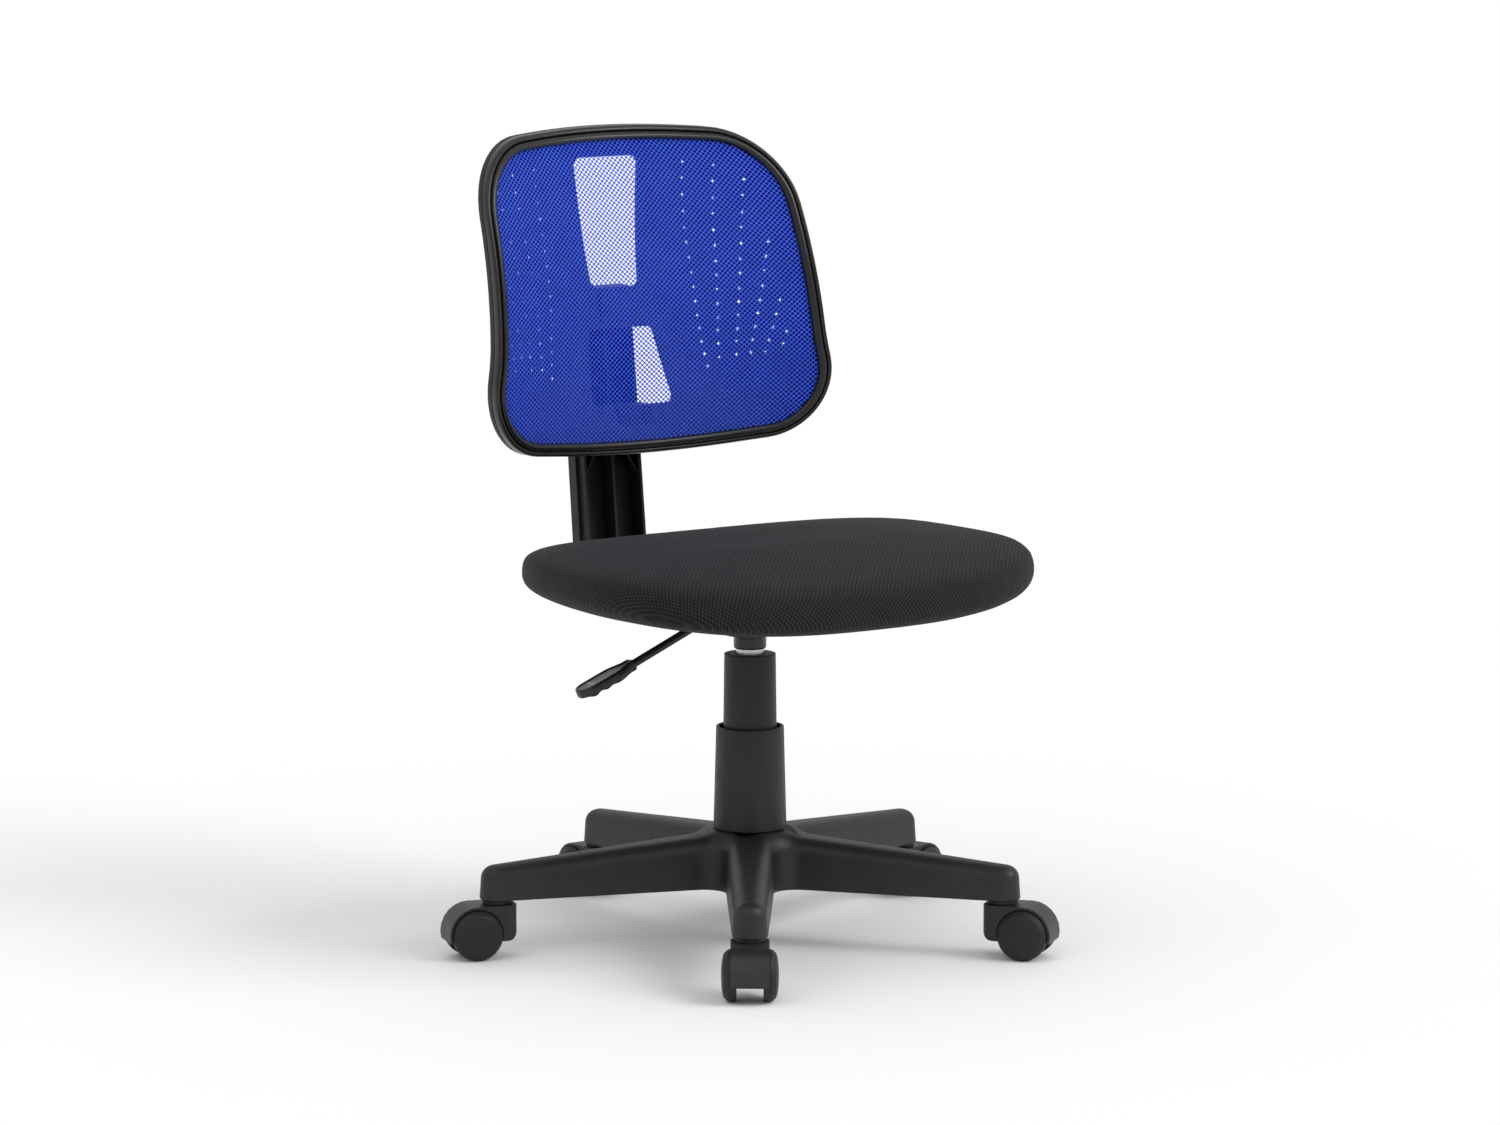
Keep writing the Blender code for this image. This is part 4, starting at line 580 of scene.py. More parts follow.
def star_skin():
    """Outer skin with crowned legs, a lip, and the hollow underside."""
    loops = []
    roof = LEG_TIP_TOP - 0.012
    for inset, z in ((LEG_WALL + 0.006, roof), (LEG_WALL + 0.001, roof - 0.003),
                     (LEG_WALL, LEG_BOTTOM + LIP_ROUND), (LEG_WALL - LIP_ROUND, LEG_BOTTOM),
                     (LIP_ROUND, LEG_BOTTOM), (0.0, LEG_BOTTOM + LIP_ROUND)):
        loops.append([Vector((p.x, p.y, z)) for p in star_outline(inset)])
    for i in range(CROWN_STEPS + 1):
        angle = math.pi / 2 * i / CROWN_STEPS
        inset = CROWN_DRAFT + (CROWN_INSET - CROWN_DRAFT) * (1 - math.cos(angle)) ** CROWN_POWER
        fall = CROWN_DROP * (1 - math.sin(angle))
        loops.append([Vector((p.x, p.y, leg_top(p) - fall)) for p in star_outline(inset)])
    count = len(loops[0])
    points = [p for loop in loops for p in loop]
    faces = bands(count, len(loops))
    per_leg = count // LEG_COUNT
    for base in (0, len(points) - count):
        hub = []
        for leg in range(LEG_COUNT):
            start = base + leg * per_leg
            rise = [start + FILLET_STEPS + k for k in range(SIDE_STEPS + 2)]
            first_fall = start + FILLET_STEPS + 1 + SIDE_STEPS + TIP_STEPS
            after = base + (leg + 1) % LEG_COUNT * per_leg
            fall = [first_fall + k for k in range(SIDE_STEPS + 1)] + [after]
            fall.reverse()
            faces += [(rise[k], rise[k + 1], fall[k + 1], fall[k]) for k in range(SIDE_STEPS + 1)]
            faces.append(tuple(range(rise[-1], fall[-1] + 1)))
            hub += list(range(start, start + FILLET_STEPS + 1))
        faces.append(tuple(hub))
    return to_mesh(points, faces)


SLEEVE_FOOT_BORE, SLEEVE_TOP_BORE, SLEEVE_RADIUS, SLEEVE_BOTTOM = 0.0249, 0.0253, 0.033, 0.0545
SOCKET_BORE, SOCKET_RADIUS = 0.0058, 0.012
RIB_START, RIB_END, RIB_HALF, RIB_ACROSS, RIB_NARROWING = 0.032, 0.249, 0.0012, 0.006, 0.6


def star_ribbing():
    """Hub sleeve, stem sockets and ribs under the star."""
    sleeve_top, socket_top, socket_foot = HUB_TOP - 0.004, LEG_TIP_TOP - 0.006, LEG_BOTTOM + 0.0002
    parts = [turned(soften([(SLEEVE_FOOT_BORE, SLEEVE_BOTTOM), (SLEEVE_RADIUS, SLEEVE_BOTTOM),
                            (SLEEVE_RADIUS, sleeve_top), (SLEEVE_TOP_BORE, sleeve_top)], 0.0008))]
    for heading in leg_headings():
        spot = on_leg(heading, CASTOR_CIRCLE)
        socket = turned(soften([(SOCKET_BORE, socket_foot), (SOCKET_RADIUS, socket_foot),
                                (SOCKET_RADIUS, socket_top), (SOCKET_BORE, socket_top)],
                               0.0006), 32)
        parts.append(moved(socket, shift(spot.x, spot.y)))
        turn = leg_turn(heading)
        for across in (-RIB_ACROSS, RIB_ACROSS):
            far = across * RIB_NARROWING
            outline = [(RIB_START, across - RIB_HALF), (RIB_END, far - RIB_HALF),
                       (RIB_END, far + RIB_HALF), (RIB_START, across + RIB_HALF)]
            rib = loft([[Vector((a, b, z)) for a, b in outline]
                        for z in (LEG_BOTTOM + 0.003, LEG_TIP_TOP - 0.010)])
            parts.append(moved(rib, Matrix.Rotation(turn, 4, "Z")))
    return joined(*parts)


# ---- castors

WHEEL_RADIUS, WHEEL_INNER, WHEEL_OUTER, WHEEL_DOME = 0.025, 0.0128, 0.0233, 0.0042
RIM_STEP, DOME_LIFT, DOME_STEPS = 0.0028, 0.0002, 12
TRAIL = 0.0245


def castor_wheel():
    """Domed twin-wheel half with a rounded tread, a rim step and a shallow hub dish."""
    dome = []
    for i in range(DOME_STEPS + 1):
        angle = math.pi / 2 * i / DOME_STEPS
        dome.append(((WHEEL_RADIUS - RIM_STEP) * math.cos(angle),
                     WHEEL_OUTER + DOME_LIFT + (WHEEL_DOME - DOME_LIFT) * math.sin(angle)))
    outer = [(WHEEL_RADIUS - 0.0006, WHEEL_INNER), (WHEEL_RADIUS, WHEEL_INNER + 0.0008),
             (WHEEL_RADIUS, WHEEL_OUTER - 0.0036), (WHEEL_RADIUS - 0.0008, WHEEL_OUTER - 0.0014),
             (WHEEL_RADIUS - 0.0022, WHEEL_OUTER - 0.0003)]
    bore, bore_end, dish = 0.0032, WHEEL_INNER + 0.0078, WHEEL_INNER + 0.002
    inner = [(bore, bore_end), (bore, WHEEL_INNER), (0.0075, WHEEL_INNER), (0.0085, dish),
             (0.0200, dish), (0.0210, WHEEL_INNER)]
    profile = [(0.0, bore_end)] + inner + soften(outer, 0.0012, 3, False) + dome
    mesh = turned(profile, 72, ring=False)
    return moved(mesh, Matrix.Rotation(math.radians(-90), 4, "X"))


def castors():
    wheel = castor_wheel()
    for i, heading in enumerate(leg_headings(), start=1):
        spot = on_leg(heading, CASTOR_CIRCLE)
        turn = leg_turn(heading)
        hub = shift(spot.x, spot.y) @ Matrix.Rotation(turn, 4, "Z") @ shift(TRAIL, 0, WHEEL_RADIUS)
        for side, spin in (("left", 0.0), ("right", math.pi)):
            mesh = moved(wheel.copy(), hub @ Matrix.Rotation(spin, 4, "Z"))
            add(f"wheel_{side}_{i}_fine", mesh, f"wheel_{side}_{i}", "wheel_nylon",
                [f"castor_wheel_{side}_{i}"])
        finish_node(f"castor_hood_{i}", "hood_nylon", 0.0008, 3)
        finish_node(f"castor_stem_{i}", "wheel_nylon", 0.0004)
        finish_node(f"castor_axle_{i}", "bright_steel", 0.0003)


# ---- column

COVER_WALL, COVER_BEAD = 0.0020, 0.0008
LOWER_COVER_FOOT, LOWER_COVER_TOP, LOWER_COVER_HIGH = 0.03615, 0.0335, 0.2150
UPPER_COVER_FOOT, UPPER_COVER_TOP, UPPER_COVER_HOLE = 0.0264, 0.02545, 0.0145
UPPER_COVER_LOW, UPPER_COVER_STEP, UPPER_COVER_RIM = 0.1940, 0.2123, 0.2873
SKIRT_BORE, SKIRT_RADIUS, SKIRT_SHELF = 0.0253, 0.0273, 0.0230
CYLINDER_RADIUS, CYLINDER_BORE, TAPER_TOP_RADIUS, PIN_BORE = 0.014, 0.012, 0.0130, 0.0028
CYLINDER_LOW, TAPER_LOW, CYLINDER_HIGH = 0.0600, 0.2924, 0.3230
SOCKET_NECK, SOCKET_COLLAR, SOCKET_HIGH = 0.0162, 0.0172, 0.3210


def column():
    """The two telescoping covers, the gas cylinder with its taper, and the socket it sits in."""
    low, high, wall = HUB_TOP + 0.0003, LOWER_COVER_HIGH, COVER_WALL
    foot, top = LOWER_COVER_FOOT, LOWER_COVER_TOP
    lip = top - wall - COVER_BEAD
    cover = soften([(foot - wall, low), (foot, low), (top, high), (lip, high),
                    (lip, high - 0.0020), (top - wall, high - 0.0030)], 0.0008)
    add("lower_cover_fine", turned(cover), "base", "cover_plastic", ["lower_column_cover"])
    step, rim, shelf = UPPER_COVER_STEP, UPPER_COVER_RIM, UPPER_COVER_STEP - COVER_WALL
    foot, top, hole = UPPER_COVER_FOOT, UPPER_COVER_TOP, UPPER_COVER_HOLE
    cover = soften([(SKIRT_BORE, UPPER_COVER_LOW), (SKIRT_RADIUS, UPPER_COVER_LOW),
                    (SKIRT_RADIUS, step), (foot, step + 0.0006), (top, rim), (hole, rim),
                    (hole, rim - wall), (top - wall, rim - wall), (foot - wall, step),
                    (SKIRT_SHELF, step), (SKIRT_SHELF, shelf), (SKIRT_BORE, shelf)], 0.0007)
    add("upper_cover_fine", turned(cover), "base", "cover_plastic", ["upper_column_cover"])
    roof = TAPER_LOW + 0.0040
    cylinder = soften([(CYLINDER_BORE, CYLINDER_LOW), (CYLINDER_RADIUS, CYLINDER_LOW),
                       (CYLINDER_RADIUS, TAPER_LOW), (TAPER_TOP_RADIUS, CYLINDER_HIGH),
                       (PIN_BORE, CYLINDER_HIGH), (PIN_BORE, roof), (CYLINDER_BORE, roof)], 0.0005, 2)
    add("cylinder_fine", turned(cylinder, 80), "seat", "bright_steel", ["gas_cylinder"])
    neck, collar = SOCKET_NECK, SOCKET_COLLAR
    socket = soften([(0.0143, TAPER_LOW), (0.0150, TAPER_LOW), (neck, 0.2936), (neck, 0.3036),
                     (collar, 0.3042), (collar, 0.3132), (neck, 0.3135), (neck, SOCKET_HIGH),
                     (0.0133, SOCKET_HIGH)], 0.0006, 3)
    add("cone_socket_fine", turned(socket, 72), "seat", "black_painted_steel", ["cone_socket"])


# ---- lever

PIVOT = Vector((-0.040, 0, 0.3313))
PRESS_START, PRESS_END = (0.00225, 0.3358), (-0.0045, 0.3358)
ROD_ELBOW, ROD_END, ROD_RADIUS, ROD_BEND = (-0.068, 0.3183), (-0.146, 0.2853), 0.004, 0.009
PIVOT_BORE, PIVOT_HUB, PIVOT_HALF = 0.0028, 0.0065, 0.008
HANDLE_START, HANDLE_TIP = Vector((-0.1374, 0, 0.2890)), Vector((-0.1995, 0, 0.2638))
HANDLE_ROLL = math.radians(6)
HANDLE_HALF, HANDLE_NECK, HANDLE_THICKNESS = 0.0145, 0.0070, 0.0110
GRIP_DEPTH, GRIP_START, GRIP_WAVES = 0.0018, 0.35, 4.5
SIGN_ALONG, SIGN_LOW, SIGN_HIGH = 0.050, 0.00440, 0.00462


def swept(path, radius, sides=24):
    """A round bar along points in the XZ plane."""
    loops = []
    for i, here in enumerate(path):
        back, ahead = path[max(i - 1, 0)], path[min(i + 1, len(path) - 1)]
        along = Vector((ahead[0] - back[0], 0, ahead[1] - back[1])).normalized()
        across = Vector((-along.z, 0, along.x))
        loops.append([Vector((here[0], 0, here[1])) + radius * (
            across * math.cos(2 * math.pi * j / sides)
            + Vector((0, 1, 0)) * math.sin(2 * math.pi * j / sides)) for j in range(sides)])
    return loft(loops)


def lever_rod():
    """The bar from over the release pin, through its pivot hub, out to the handle."""
    path = soften([PRESS_START, PRESS_END, (PIVOT.x, PIVOT.z), ROD_ELBOW, ROD_END], ROD_BEND, 6,
                  False)
    hub = turned(soften([(PIVOT_BORE, -PIVOT_HALF), (PIVOT_HUB, -PIVOT_HALF),
                         (PIVOT_HUB, PIVOT_HALF), (PIVOT_BORE, PIVOT_HALF)], 0.0006), 40)
    hub = moved(moved(hub, Matrix.Rotation(math.radians(90), 4, "X")), Matrix.Translation(PIVOT))
    return joined(swept(path, ROD_RADIUS), hub)


def handle_frame():
    """Axes of the paddle: along it from the neck, across, and up off its face."""
    along = (HANDLE_TIP - HANDLE_START).normalized()
    across = Vector((0, -1, 0))
    up = along.cross(across)
    turn = Matrix((along, across, up)).transposed().to_4x4()
    return Matrix.Translation(HANDLE_START) @ turn @ Matrix.Rotation(HANDLE_ROLL, 4, "X")


def lever_handle():
    """Paddle with a raised rim round its face and finger grips underneath."""
    length, half, neck = (HANDLE_TIP - HANDLE_START).length, HANDLE_HALF, HANDLE_NECK
    corners = [(0, -neck, 0.002), (length * 0.12, -neck, 0.010), (length * 0.34, -half, 0.020),
               (length, -half, half * 0.95), (length, half, half * 0.95),
               (length * 0.34, half, 0.020), (length * 0.12, neck, 0.010), (0, neck, 0.002)]
    outline = resampled(rounded(corners, 10), 0.0011)
    top, low, grip = HANDLE_THICKNESS / 2, -HANDLE_THICKNESS / 2, GRIP_DEPTH

    def level(inset, z, grip=0.0):
        points = []
        for p in offset(outline, -inset):
            share = min(max((p.x / length - GRIP_START) * 4, 0), 1)
            wave = math.sin(p.x / length * 2 * math.pi * GRIP_WAVES)
            points.append(Vector((p.x, p.y, z + grip * share * (0.5 + 0.5 * wave))))
        return points

    loops = [level(0.0060, low + 0.0004, grip), level(0.0030, low, grip),
             level(0.0012, low + 0.0005, grip), level(0.0004, low + 0.0014, grip), level(0.0, low + 0.0032),
             level(0.0, top - 0.0016), level(0.0005, top - 0.0005), level(0.0014, top),
             level(0.0022, top - 0.0001), level(0.0028, top - 0.0008), level(0.0040, top - 0.0010)]
    return moved(loft(loops), handle_frame())


def handle_print():
    """Generic raise and lower sign: a seat line between an up and a down arrow."""
    shapes = [[(-0.0042, -0.0006), (0.0042, -0.0006), (0.0042, 0.0006), (-0.0042, 0.0006)],
              [(-0.0030, 0.0020), (0.0030, 0.0020), (0, 0.0056)],
              [(-0.0030, -0.0020), (0, -0.0056), (0.0030, -0.0020)]]
    signs = [loft([[Vector((SIGN_ALONG + a, b, z)) for a, b in shape] for z in (SIGN_LOW, SIGN_HIGH)])
             for shape in shapes]
    return moved(joined(*signs), handle_frame())


def lever():
    add("lever_rod_fine", lever_rod(), "lever", "black_painted_steel", ["lever_rod"])
    add("lever_handle_fine", lever_handle(), "lever", "frame_plastic", ["lever_handle"])
    add("lever_sign", handle_print(), "lever", "frame_plastic", look="print")


# ---- screws

SHANK_RADIUS, HEAD_RADIUS, HEAD_HEIGHT = 0.0030, 0.0060, 0.0035
CROSS_LONG, CROSS_WIDE, CROSS_FLOOR = 0.0030, 0.0006, -0.0018
BRACKET_SCREW_LENGTH = 0.0335     # through the bar and 9 mm into the shell's pad


def screw_mesh(length):
    """Pan-head screw along +Z with a cross recess in its head."""
    profile = [(0.0, -HEAD_HEIGHT)] + soften([(0.0036, -HEAD_HEIGHT), (0.0056, -0.0026),
                                              (HEAD_RADIUS, -0.0008), (HEAD_RADIUS, 0.0)],
                                             0.0006, 3, False)
    profile += [(SHANK_RADIUS, 0.0), (SHANK_RADIUS, length), (0.0, length)]
    screw = turned(profile, 40, ring=False)
    cross = [(-CROSS_LONG, -CROSS_WIDE), (CROSS_LONG, -CROSS_WIDE),
             (CROSS_LONG, CROSS_WIDE), (-CROSS_LONG, CROSS_WIDE)]
    for turn in (0, math.pi / 2):
        bar = loft([[Vector((a, b, z)) for a, b in cross] for z in (-0.0050, CROSS_FLOOR)])
        screw = boolean(screw, moved(bar, Matrix.Rotation(turn, 4, "Z")), "DIFFERENCE")
    return screw


def screws():
    """A detailed screw for each plain one, head at the end that the plain one's box gives."""
    lean = Matrix.Rotation(-BAR_LEAN, 4, "X") @ Matrix.Rotation(math.radians(90), 4, "X")
    for name in sorted(part for part in nodes if "_screw_" in part):
        low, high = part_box(name)
        middle = (low + high) / 2
        if name.startswith("bracket"):
            reach = lean @ Vector((0, 0, (BRACKET_SCREW_LENGTH - HEAD_HEIGHT) / 2))
            mesh = moved(screw_mesh(BRACKET_SCREW_LENGTH), Matrix.Translation(middle - reach) @ lean)
        else:
            mesh = moved(screw_mesh(high.z - low.z - HEAD_HEIGHT),
                         shift(middle.x, middle.y, low.z + HEAD_HEIGHT))
        add(name + "_fine", mesh, "seat", "bright_steel", [name], local=False)


# ---- cushion

SEAT_MIDDLE_Y, SEAT_MID_Z = -0.036, 0.3741
SEAT_HALF, SEAT_SQUARENESS, SEAT_TAPER = Vector((0.2487, 0.205)), 2.62, 0.073
SEAT_FRONT_DROP, SEAT_REAR_DROP, SEAT_FLAT = 0.0194, 0.0156, 0.25
CROWN_HEIGHT, CROWN_SHAPE, BELLY_DEPTH, BELLY_SHAPE = 0.0309, 5.9, 0.0438, 2.11
BOARD_HIGH, BOARD_SCALE, BOARD_CLEARANCE = 0.3575, 0.76, 0.0006
CUSHION_INSET, CUSHION_SWELL = 0.0008, 0.0035
VOXEL, LAST_FRAME, BORDER_FROM, BORDER_HOLD = 0.0055, 20, 0.80, 0.9
CLOTH = {"quality": 6, "mass": 0.25, "tension_stiffness": 25, "compression_stiffness": 25,
         "shear_stiffness": 8, "bending_stiffness": 2, "vertex_group_mass": "held",
         "use_pressure": True, "uniform_pressure_force": 4}
WEAVE_LEVEL = SEAT_MID_Z + 0.022


def seat_plan(share=1.0, inset=0.0, steps=128):
    """The seat's rounded plan, narrower towards the back."""
    plan = []
    power = 2 / SEAT_SQUARENESS
    for i in range(steps):
        angle = 2 * math.pi * i / steps
        c, s = math.cos(angle), math.sin(angle)
        across = math.copysign(abs(c) ** power, c) * share
        along = math.copysign(abs(s) ** power, s) * share
        x = (SEAT_HALF.x - inset) * across * (1 - SEAT_TAPER * along)
        plan.append(Vector((x, SEAT_MIDDLE_Y + (SEAT_HALF.y - inset) * along)))
    return plan


def seat_share(x, y):
    """How far out a plan point lies: 0 in the middle, 1 on the widest edge."""
    along = (y - SEAT_MIDDLE_Y) / SEAT_HALF.y
    across = x / SEAT_HALF.x / (1 - SEAT_TAPER * along)
    return (abs(along) ** SEAT_SQUARENESS + abs(across) ** SEAT_SQUARENESS) ** (1 / SEAT_SQUARENESS)


def seat_drop(y):
    """How far the pad falls below its middle, towards the front and the back."""
    share = (y - SEAT_MIDDLE_Y) / SEAT_HALF.y
    drop = SEAT_FRONT_DROP if share < 0 else SEAT_REAR_DROP
    return drop * (max(abs(share) - SEAT_FLAT, 0) / (1 - SEAT_FLAT)) ** 2


def cushion_start(inset):
    """The pad before it is filled, slightly smaller than its space."""
    loops = []
    for height, power, count, flip in ((CROWN_HEIGHT - inset * 0.8, CROWN_SHAPE, 16, False),
                                       (-BELLY_DEPTH + inset * 0.4, BELLY_SHAPE, 12, True)):
        shares = [math.sin(math.pi / 2 * (i + 1) / count) for i in range(count)]
        for share in (reversed(shares[:-1]) if flip else shares):
            rise = height * (1 - share ** power) ** (1 / power)
            loops.append([Vector((p.x, p.y, SEAT_MID_Z + rise - seat_drop(p.y)))
                          for p in seat_plan(share, inset)])
    return loft(loops)


def simulated(mesh, cap):
    """Fills the pad with air as cloth, holds it where it lies on the board, and caps its swell."""
    piece = in_scene("pad", mesh)
    remesh = piece.modifiers.new("remesh", "REMESH")
    remesh.mode = "VOXEL"
    remesh.voxel_size = VOXEL
    piece.data = evaluated(piece)
    piece.modifiers.clear()
    before = [v.co.copy() for v in piece.data.vertices]
    held = piece.vertex_groups.new(name="held")
    for i, p in enumerate(before):
        border = max(seat_share(p.x, p.y) - BORDER_FROM, 0) / (1 - BORDER_FROM)
        hold = 1.0 if p.z < BOARD_HIGH + 0.002 else min(border, 1.0) * BORDER_HOLD
        held.add([i], hold, "REPLACE")
    cloth = piece.modifiers.new("cloth", "CLOTH")
    for setting, value in CLOTH.items():
        setattr(cloth.settings, setting, value)
    cloth.settings.effector_weights.gravity = 0
    cloth.collision_settings.use_collision = False
    cloth.point_cache.frame_start = 1
    cloth.point_cache.frame_end = LAST_FRAME
    scene = bpy.context.scene
    for step in range(1, LAST_FRAME + 1):
        scene.frame_set(step)
    graph = bpy.context.evaluated_depsgraph_get()
    filled = [v.co.copy() for v in piece.evaluated_get(graph).to_mesh().vertices]
    piece.modifiers.clear()
    scene.frame_set(1)
    for vert, start, end in zip(piece.data.vertices, before, filled):
        swell = end - start
        if swell.length > cap:
            swell = swell.normalized() * cap
        vert.co = start + swell
    relax(piece.data, 4)
    divide = piece.modifiers.new("divide", "SUBSURF")
    divide.levels = divide.render_levels = 1
    made = evaluated(piece)
    bpy.data.objects.remove(piece)
    return made


def relax(mesh, rounds):
    """Evens out a remeshed surface."""
    shape = bmesh.new()
    shape.from_mesh(mesh)
    for _ in range(rounds):
        bmesh.ops.smooth_vert(shape, verts=shape.verts, factor=0.5, use_axis_x=True,
                              use_axis_y=True, use_axis_z=True)
    shape.to_mesh(mesh)
    shape.free()


def weave_places(mesh):
    """Where each point lies on the flat cloth: the plan, run on down over the sides."""
    places = mesh.attributes.new("weave", "FLOAT_VECTOR", "POINT")
    power = SEAT_SQUARENESS - 1
    for vert, item in zip(mesh.vertices, places.data):
        x, y = vert.co.x, vert.co.y - SEAT_MIDDLE_Y
        slope = Vector((math.copysign(abs(x / SEAT_HALF.x) ** power / SEAT_HALF.x, x),
                        math.copysign(abs(y / SEAT_HALF.y) ** power / SEAT_HALF.y, y)))
        out = slope.normalized() if slope.length > 1e-6 else slope
        reach = max(WEAVE_LEVEL - seat_drop(vert.co.y) - vert.co.z, 0)
        item.vector = (x + out.x * reach, y + out.y * reach, 0)


def cushion():
    pad = simulated(cushion_start(CUSHION_INSET), CUSHION_SWELL)
    plan = offset(seat_plan(BOARD_SCALE, 0.0, 80), BOARD_CLEARANCE)
    pocket = loft([[Vector((p.x, p.y, z)) for p in plan] for z in (0.30, BOARD_HIGH + 0.0004)])
    pad = boolean(pad, pocket, "DIFFERENCE")
    weave_places(pad)
    piece = add("seat_cushion_soft", pad, "seat", "seat_fabric", ["seat_cushion"])
    finish_node("seat_board", "plywood", 0.0010, 3)


# ---- back

BACK_TOP, BACK_BOTTOM, BACK_MID_Z, BACK_MID_Y = 0.7813, 0.4743, 0.637, 0.1916
BACK_LEAN, BACK_CURVE_UP, BACK_CURVE_ACROSS, BACK_CURVE_RISE = 0.2384, 1.20, 0.834, 0.70
BACK_CORNERS = ((0.1998, 0.4919, 0.0658), (0.1829, 0.5718, 0.303), (0.1695, 0.7693, 0.0696))
BACK_EDGE_ROUND = 1.2
FRAME_WIDTH, FRAME_DEPTH = 0.0128, 0.0080
SHELL_WALL, SHELL_RIM_DEPTH, SHELL_BULGE, SHELL_GAP = 0.0032, 0.0095, 0.041, 0.0003
BACK_MIDDLE = (BACK_TOP + BACK_BOTTOM) / 2
BAR_LEAN, BAR_FRONT_Y, BAR_REF_Z = math.atan(0.1077), 0.249, 0.450


def back_y(x, z):
    """Depth of the net's leaning, doubly curved surface."""
    rise = z - BACK_MID_Z
    across = BACK_CURVE_ACROSS + BACK_CURVE_RISE * rise
    return BACK_MID_Y + BACK_LEAN * rise + BACK_CURVE_UP * rise ** 2 - across * x ** 2


def back_outline(spacing=0.004):
    """The net's edge: its corners are (half-width, height, radius) up its right side."""
    left = [(-x, z, radius) for x, z, radius in reversed(BACK_CORNERS)]
    corners = [(0, BACK_BOTTOM, BACK_EDGE_ROUND), *BACK_CORNERS, (0, BACK_TOP, BACK_EDGE_ROUND), *left]
    return resampled(rounded(corners, 12), spacing)


def back_loop(outline, depth):
    return [Vector((p.x, back_y(p.x, p.y) + depth, p.y)) for p in outline]


def back_frame():
    """Front ring: a round bead next to the net, a deep groove, and a flatter outer rim."""
    section = [(-0.0012, 0.0014), (-0.0004, -0.0022), (0.0012, -0.0040), (0.0034, -0.0047),
               (0.0056, -0.0040), (0.0066, -0.0022), (0.0068, 0.0016), (0.0078, 0.0016),
               (0.0080, -0.0016), (0.0086, -0.0026), (0.0104, -0.0029), (0.0119, -0.0021),
               (FRAME_WIDTH, -0.0002), (FRAME_WIDTH, FRAME_DEPTH - 0.0008),
               (FRAME_WIDTH - 0.0008, FRAME_DEPTH), (0.0, FRAME_DEPTH), (-0.0006, 0.0030)]
    section = soften(section, 0.0006, 2)
    outline = back_outline()
    return loft([back_loop(offset(outline, out), depth) for out, depth in section], wrap=True)


def toward_middle(outline, share):
    return [Vector((p.x * share, BACK_MIDDLE + (p.y - BACK_MIDDLE) * share)) for p in outline]


def shell_depth(share):
    return FRAME_DEPTH + SHELL_GAP + SHELL_RIM_DEPTH - SHELL_WALL + SHELL_BULGE * (1 - share ** 2)


WINDOWS = ((0.6286, 0.7595, 0.0282, 0.0386), (0.512, 0.588, 0.0495, 0.0382))
WINDOW_ROUND = 0.008
PAD_SPANS, PAD_HALF_WIDTH, PAD_GAP = ((0.592, 0.622), (0.488, 0.509)), 0.020, 0.0003


def window(low, high, half_low, half_high):
    """Cutter through the shell, from its lower and upper edges and its half-widths there."""
    outline = rounded([(-half_low, low, WINDOW_ROUND), (half_low, low, WINDOW_ROUND),
                       (half_high, high, WINDOW_ROUND), (-half_high, high, WINDOW_ROUND)], 8)
    return loft([[Vector((a, y, z)) for a, z in outline] for y in (0.0, 0.42)])


PERFORATION_ROWS = (              # half-widths at its top, middle and foot; top and foot heights
    (0.089, 0.085, 0.094, 0.751, 0.540), (0.120, 0.110, 0.106, 0.747, 0.550),
    (0.147, 0.131, 0.122, 0.732, 0.545), (0.159, 0.146, 0.135, 0.670, 0.548),
    (0.163, 0.156, 0.149, 0.611, 0.555), (0.168, 0.1665, 0.165, 0.579, 0.566))
PERFORATION_RADIUS = 0.0019
PERFORATION_STEP, PERFORATION_GROWTH, PERFORATION_FROM = 0.0125, 0.0225, 0.55


def perforations():
    """Cutters for the rows of small holes that fan out beside the windows."""
    cutters = []
    for top_x, middle_x, foot_x, top, foot in PERFORATION_ROWS:
        z = top
        while z > foot - 0.001:
            share = (top - z) / (top - foot)
            x = (top_x * (1 - share) * (1 - 2 * share) + 4 * middle_x * share * (1 - share)
                 + foot_x * share * (2 * share - 1))
            for side in (-1, 1):
                hole = turned([(0, 0), (PERFORATION_RADIUS, 0), (PERFORATION_RADIUS, 0.30),
                               (0, 0.30)], 12, ring=False)
                hole = moved(hole, Matrix.Rotation(math.radians(-90), 4, "X"))
                cutters.append(moved(hole, shift(side * x, 0.05, z)))
            z -= PERFORATION_STEP + PERFORATION_GROWTH * max(z - PERFORATION_FROM, 0)
    return joined(*cutters)


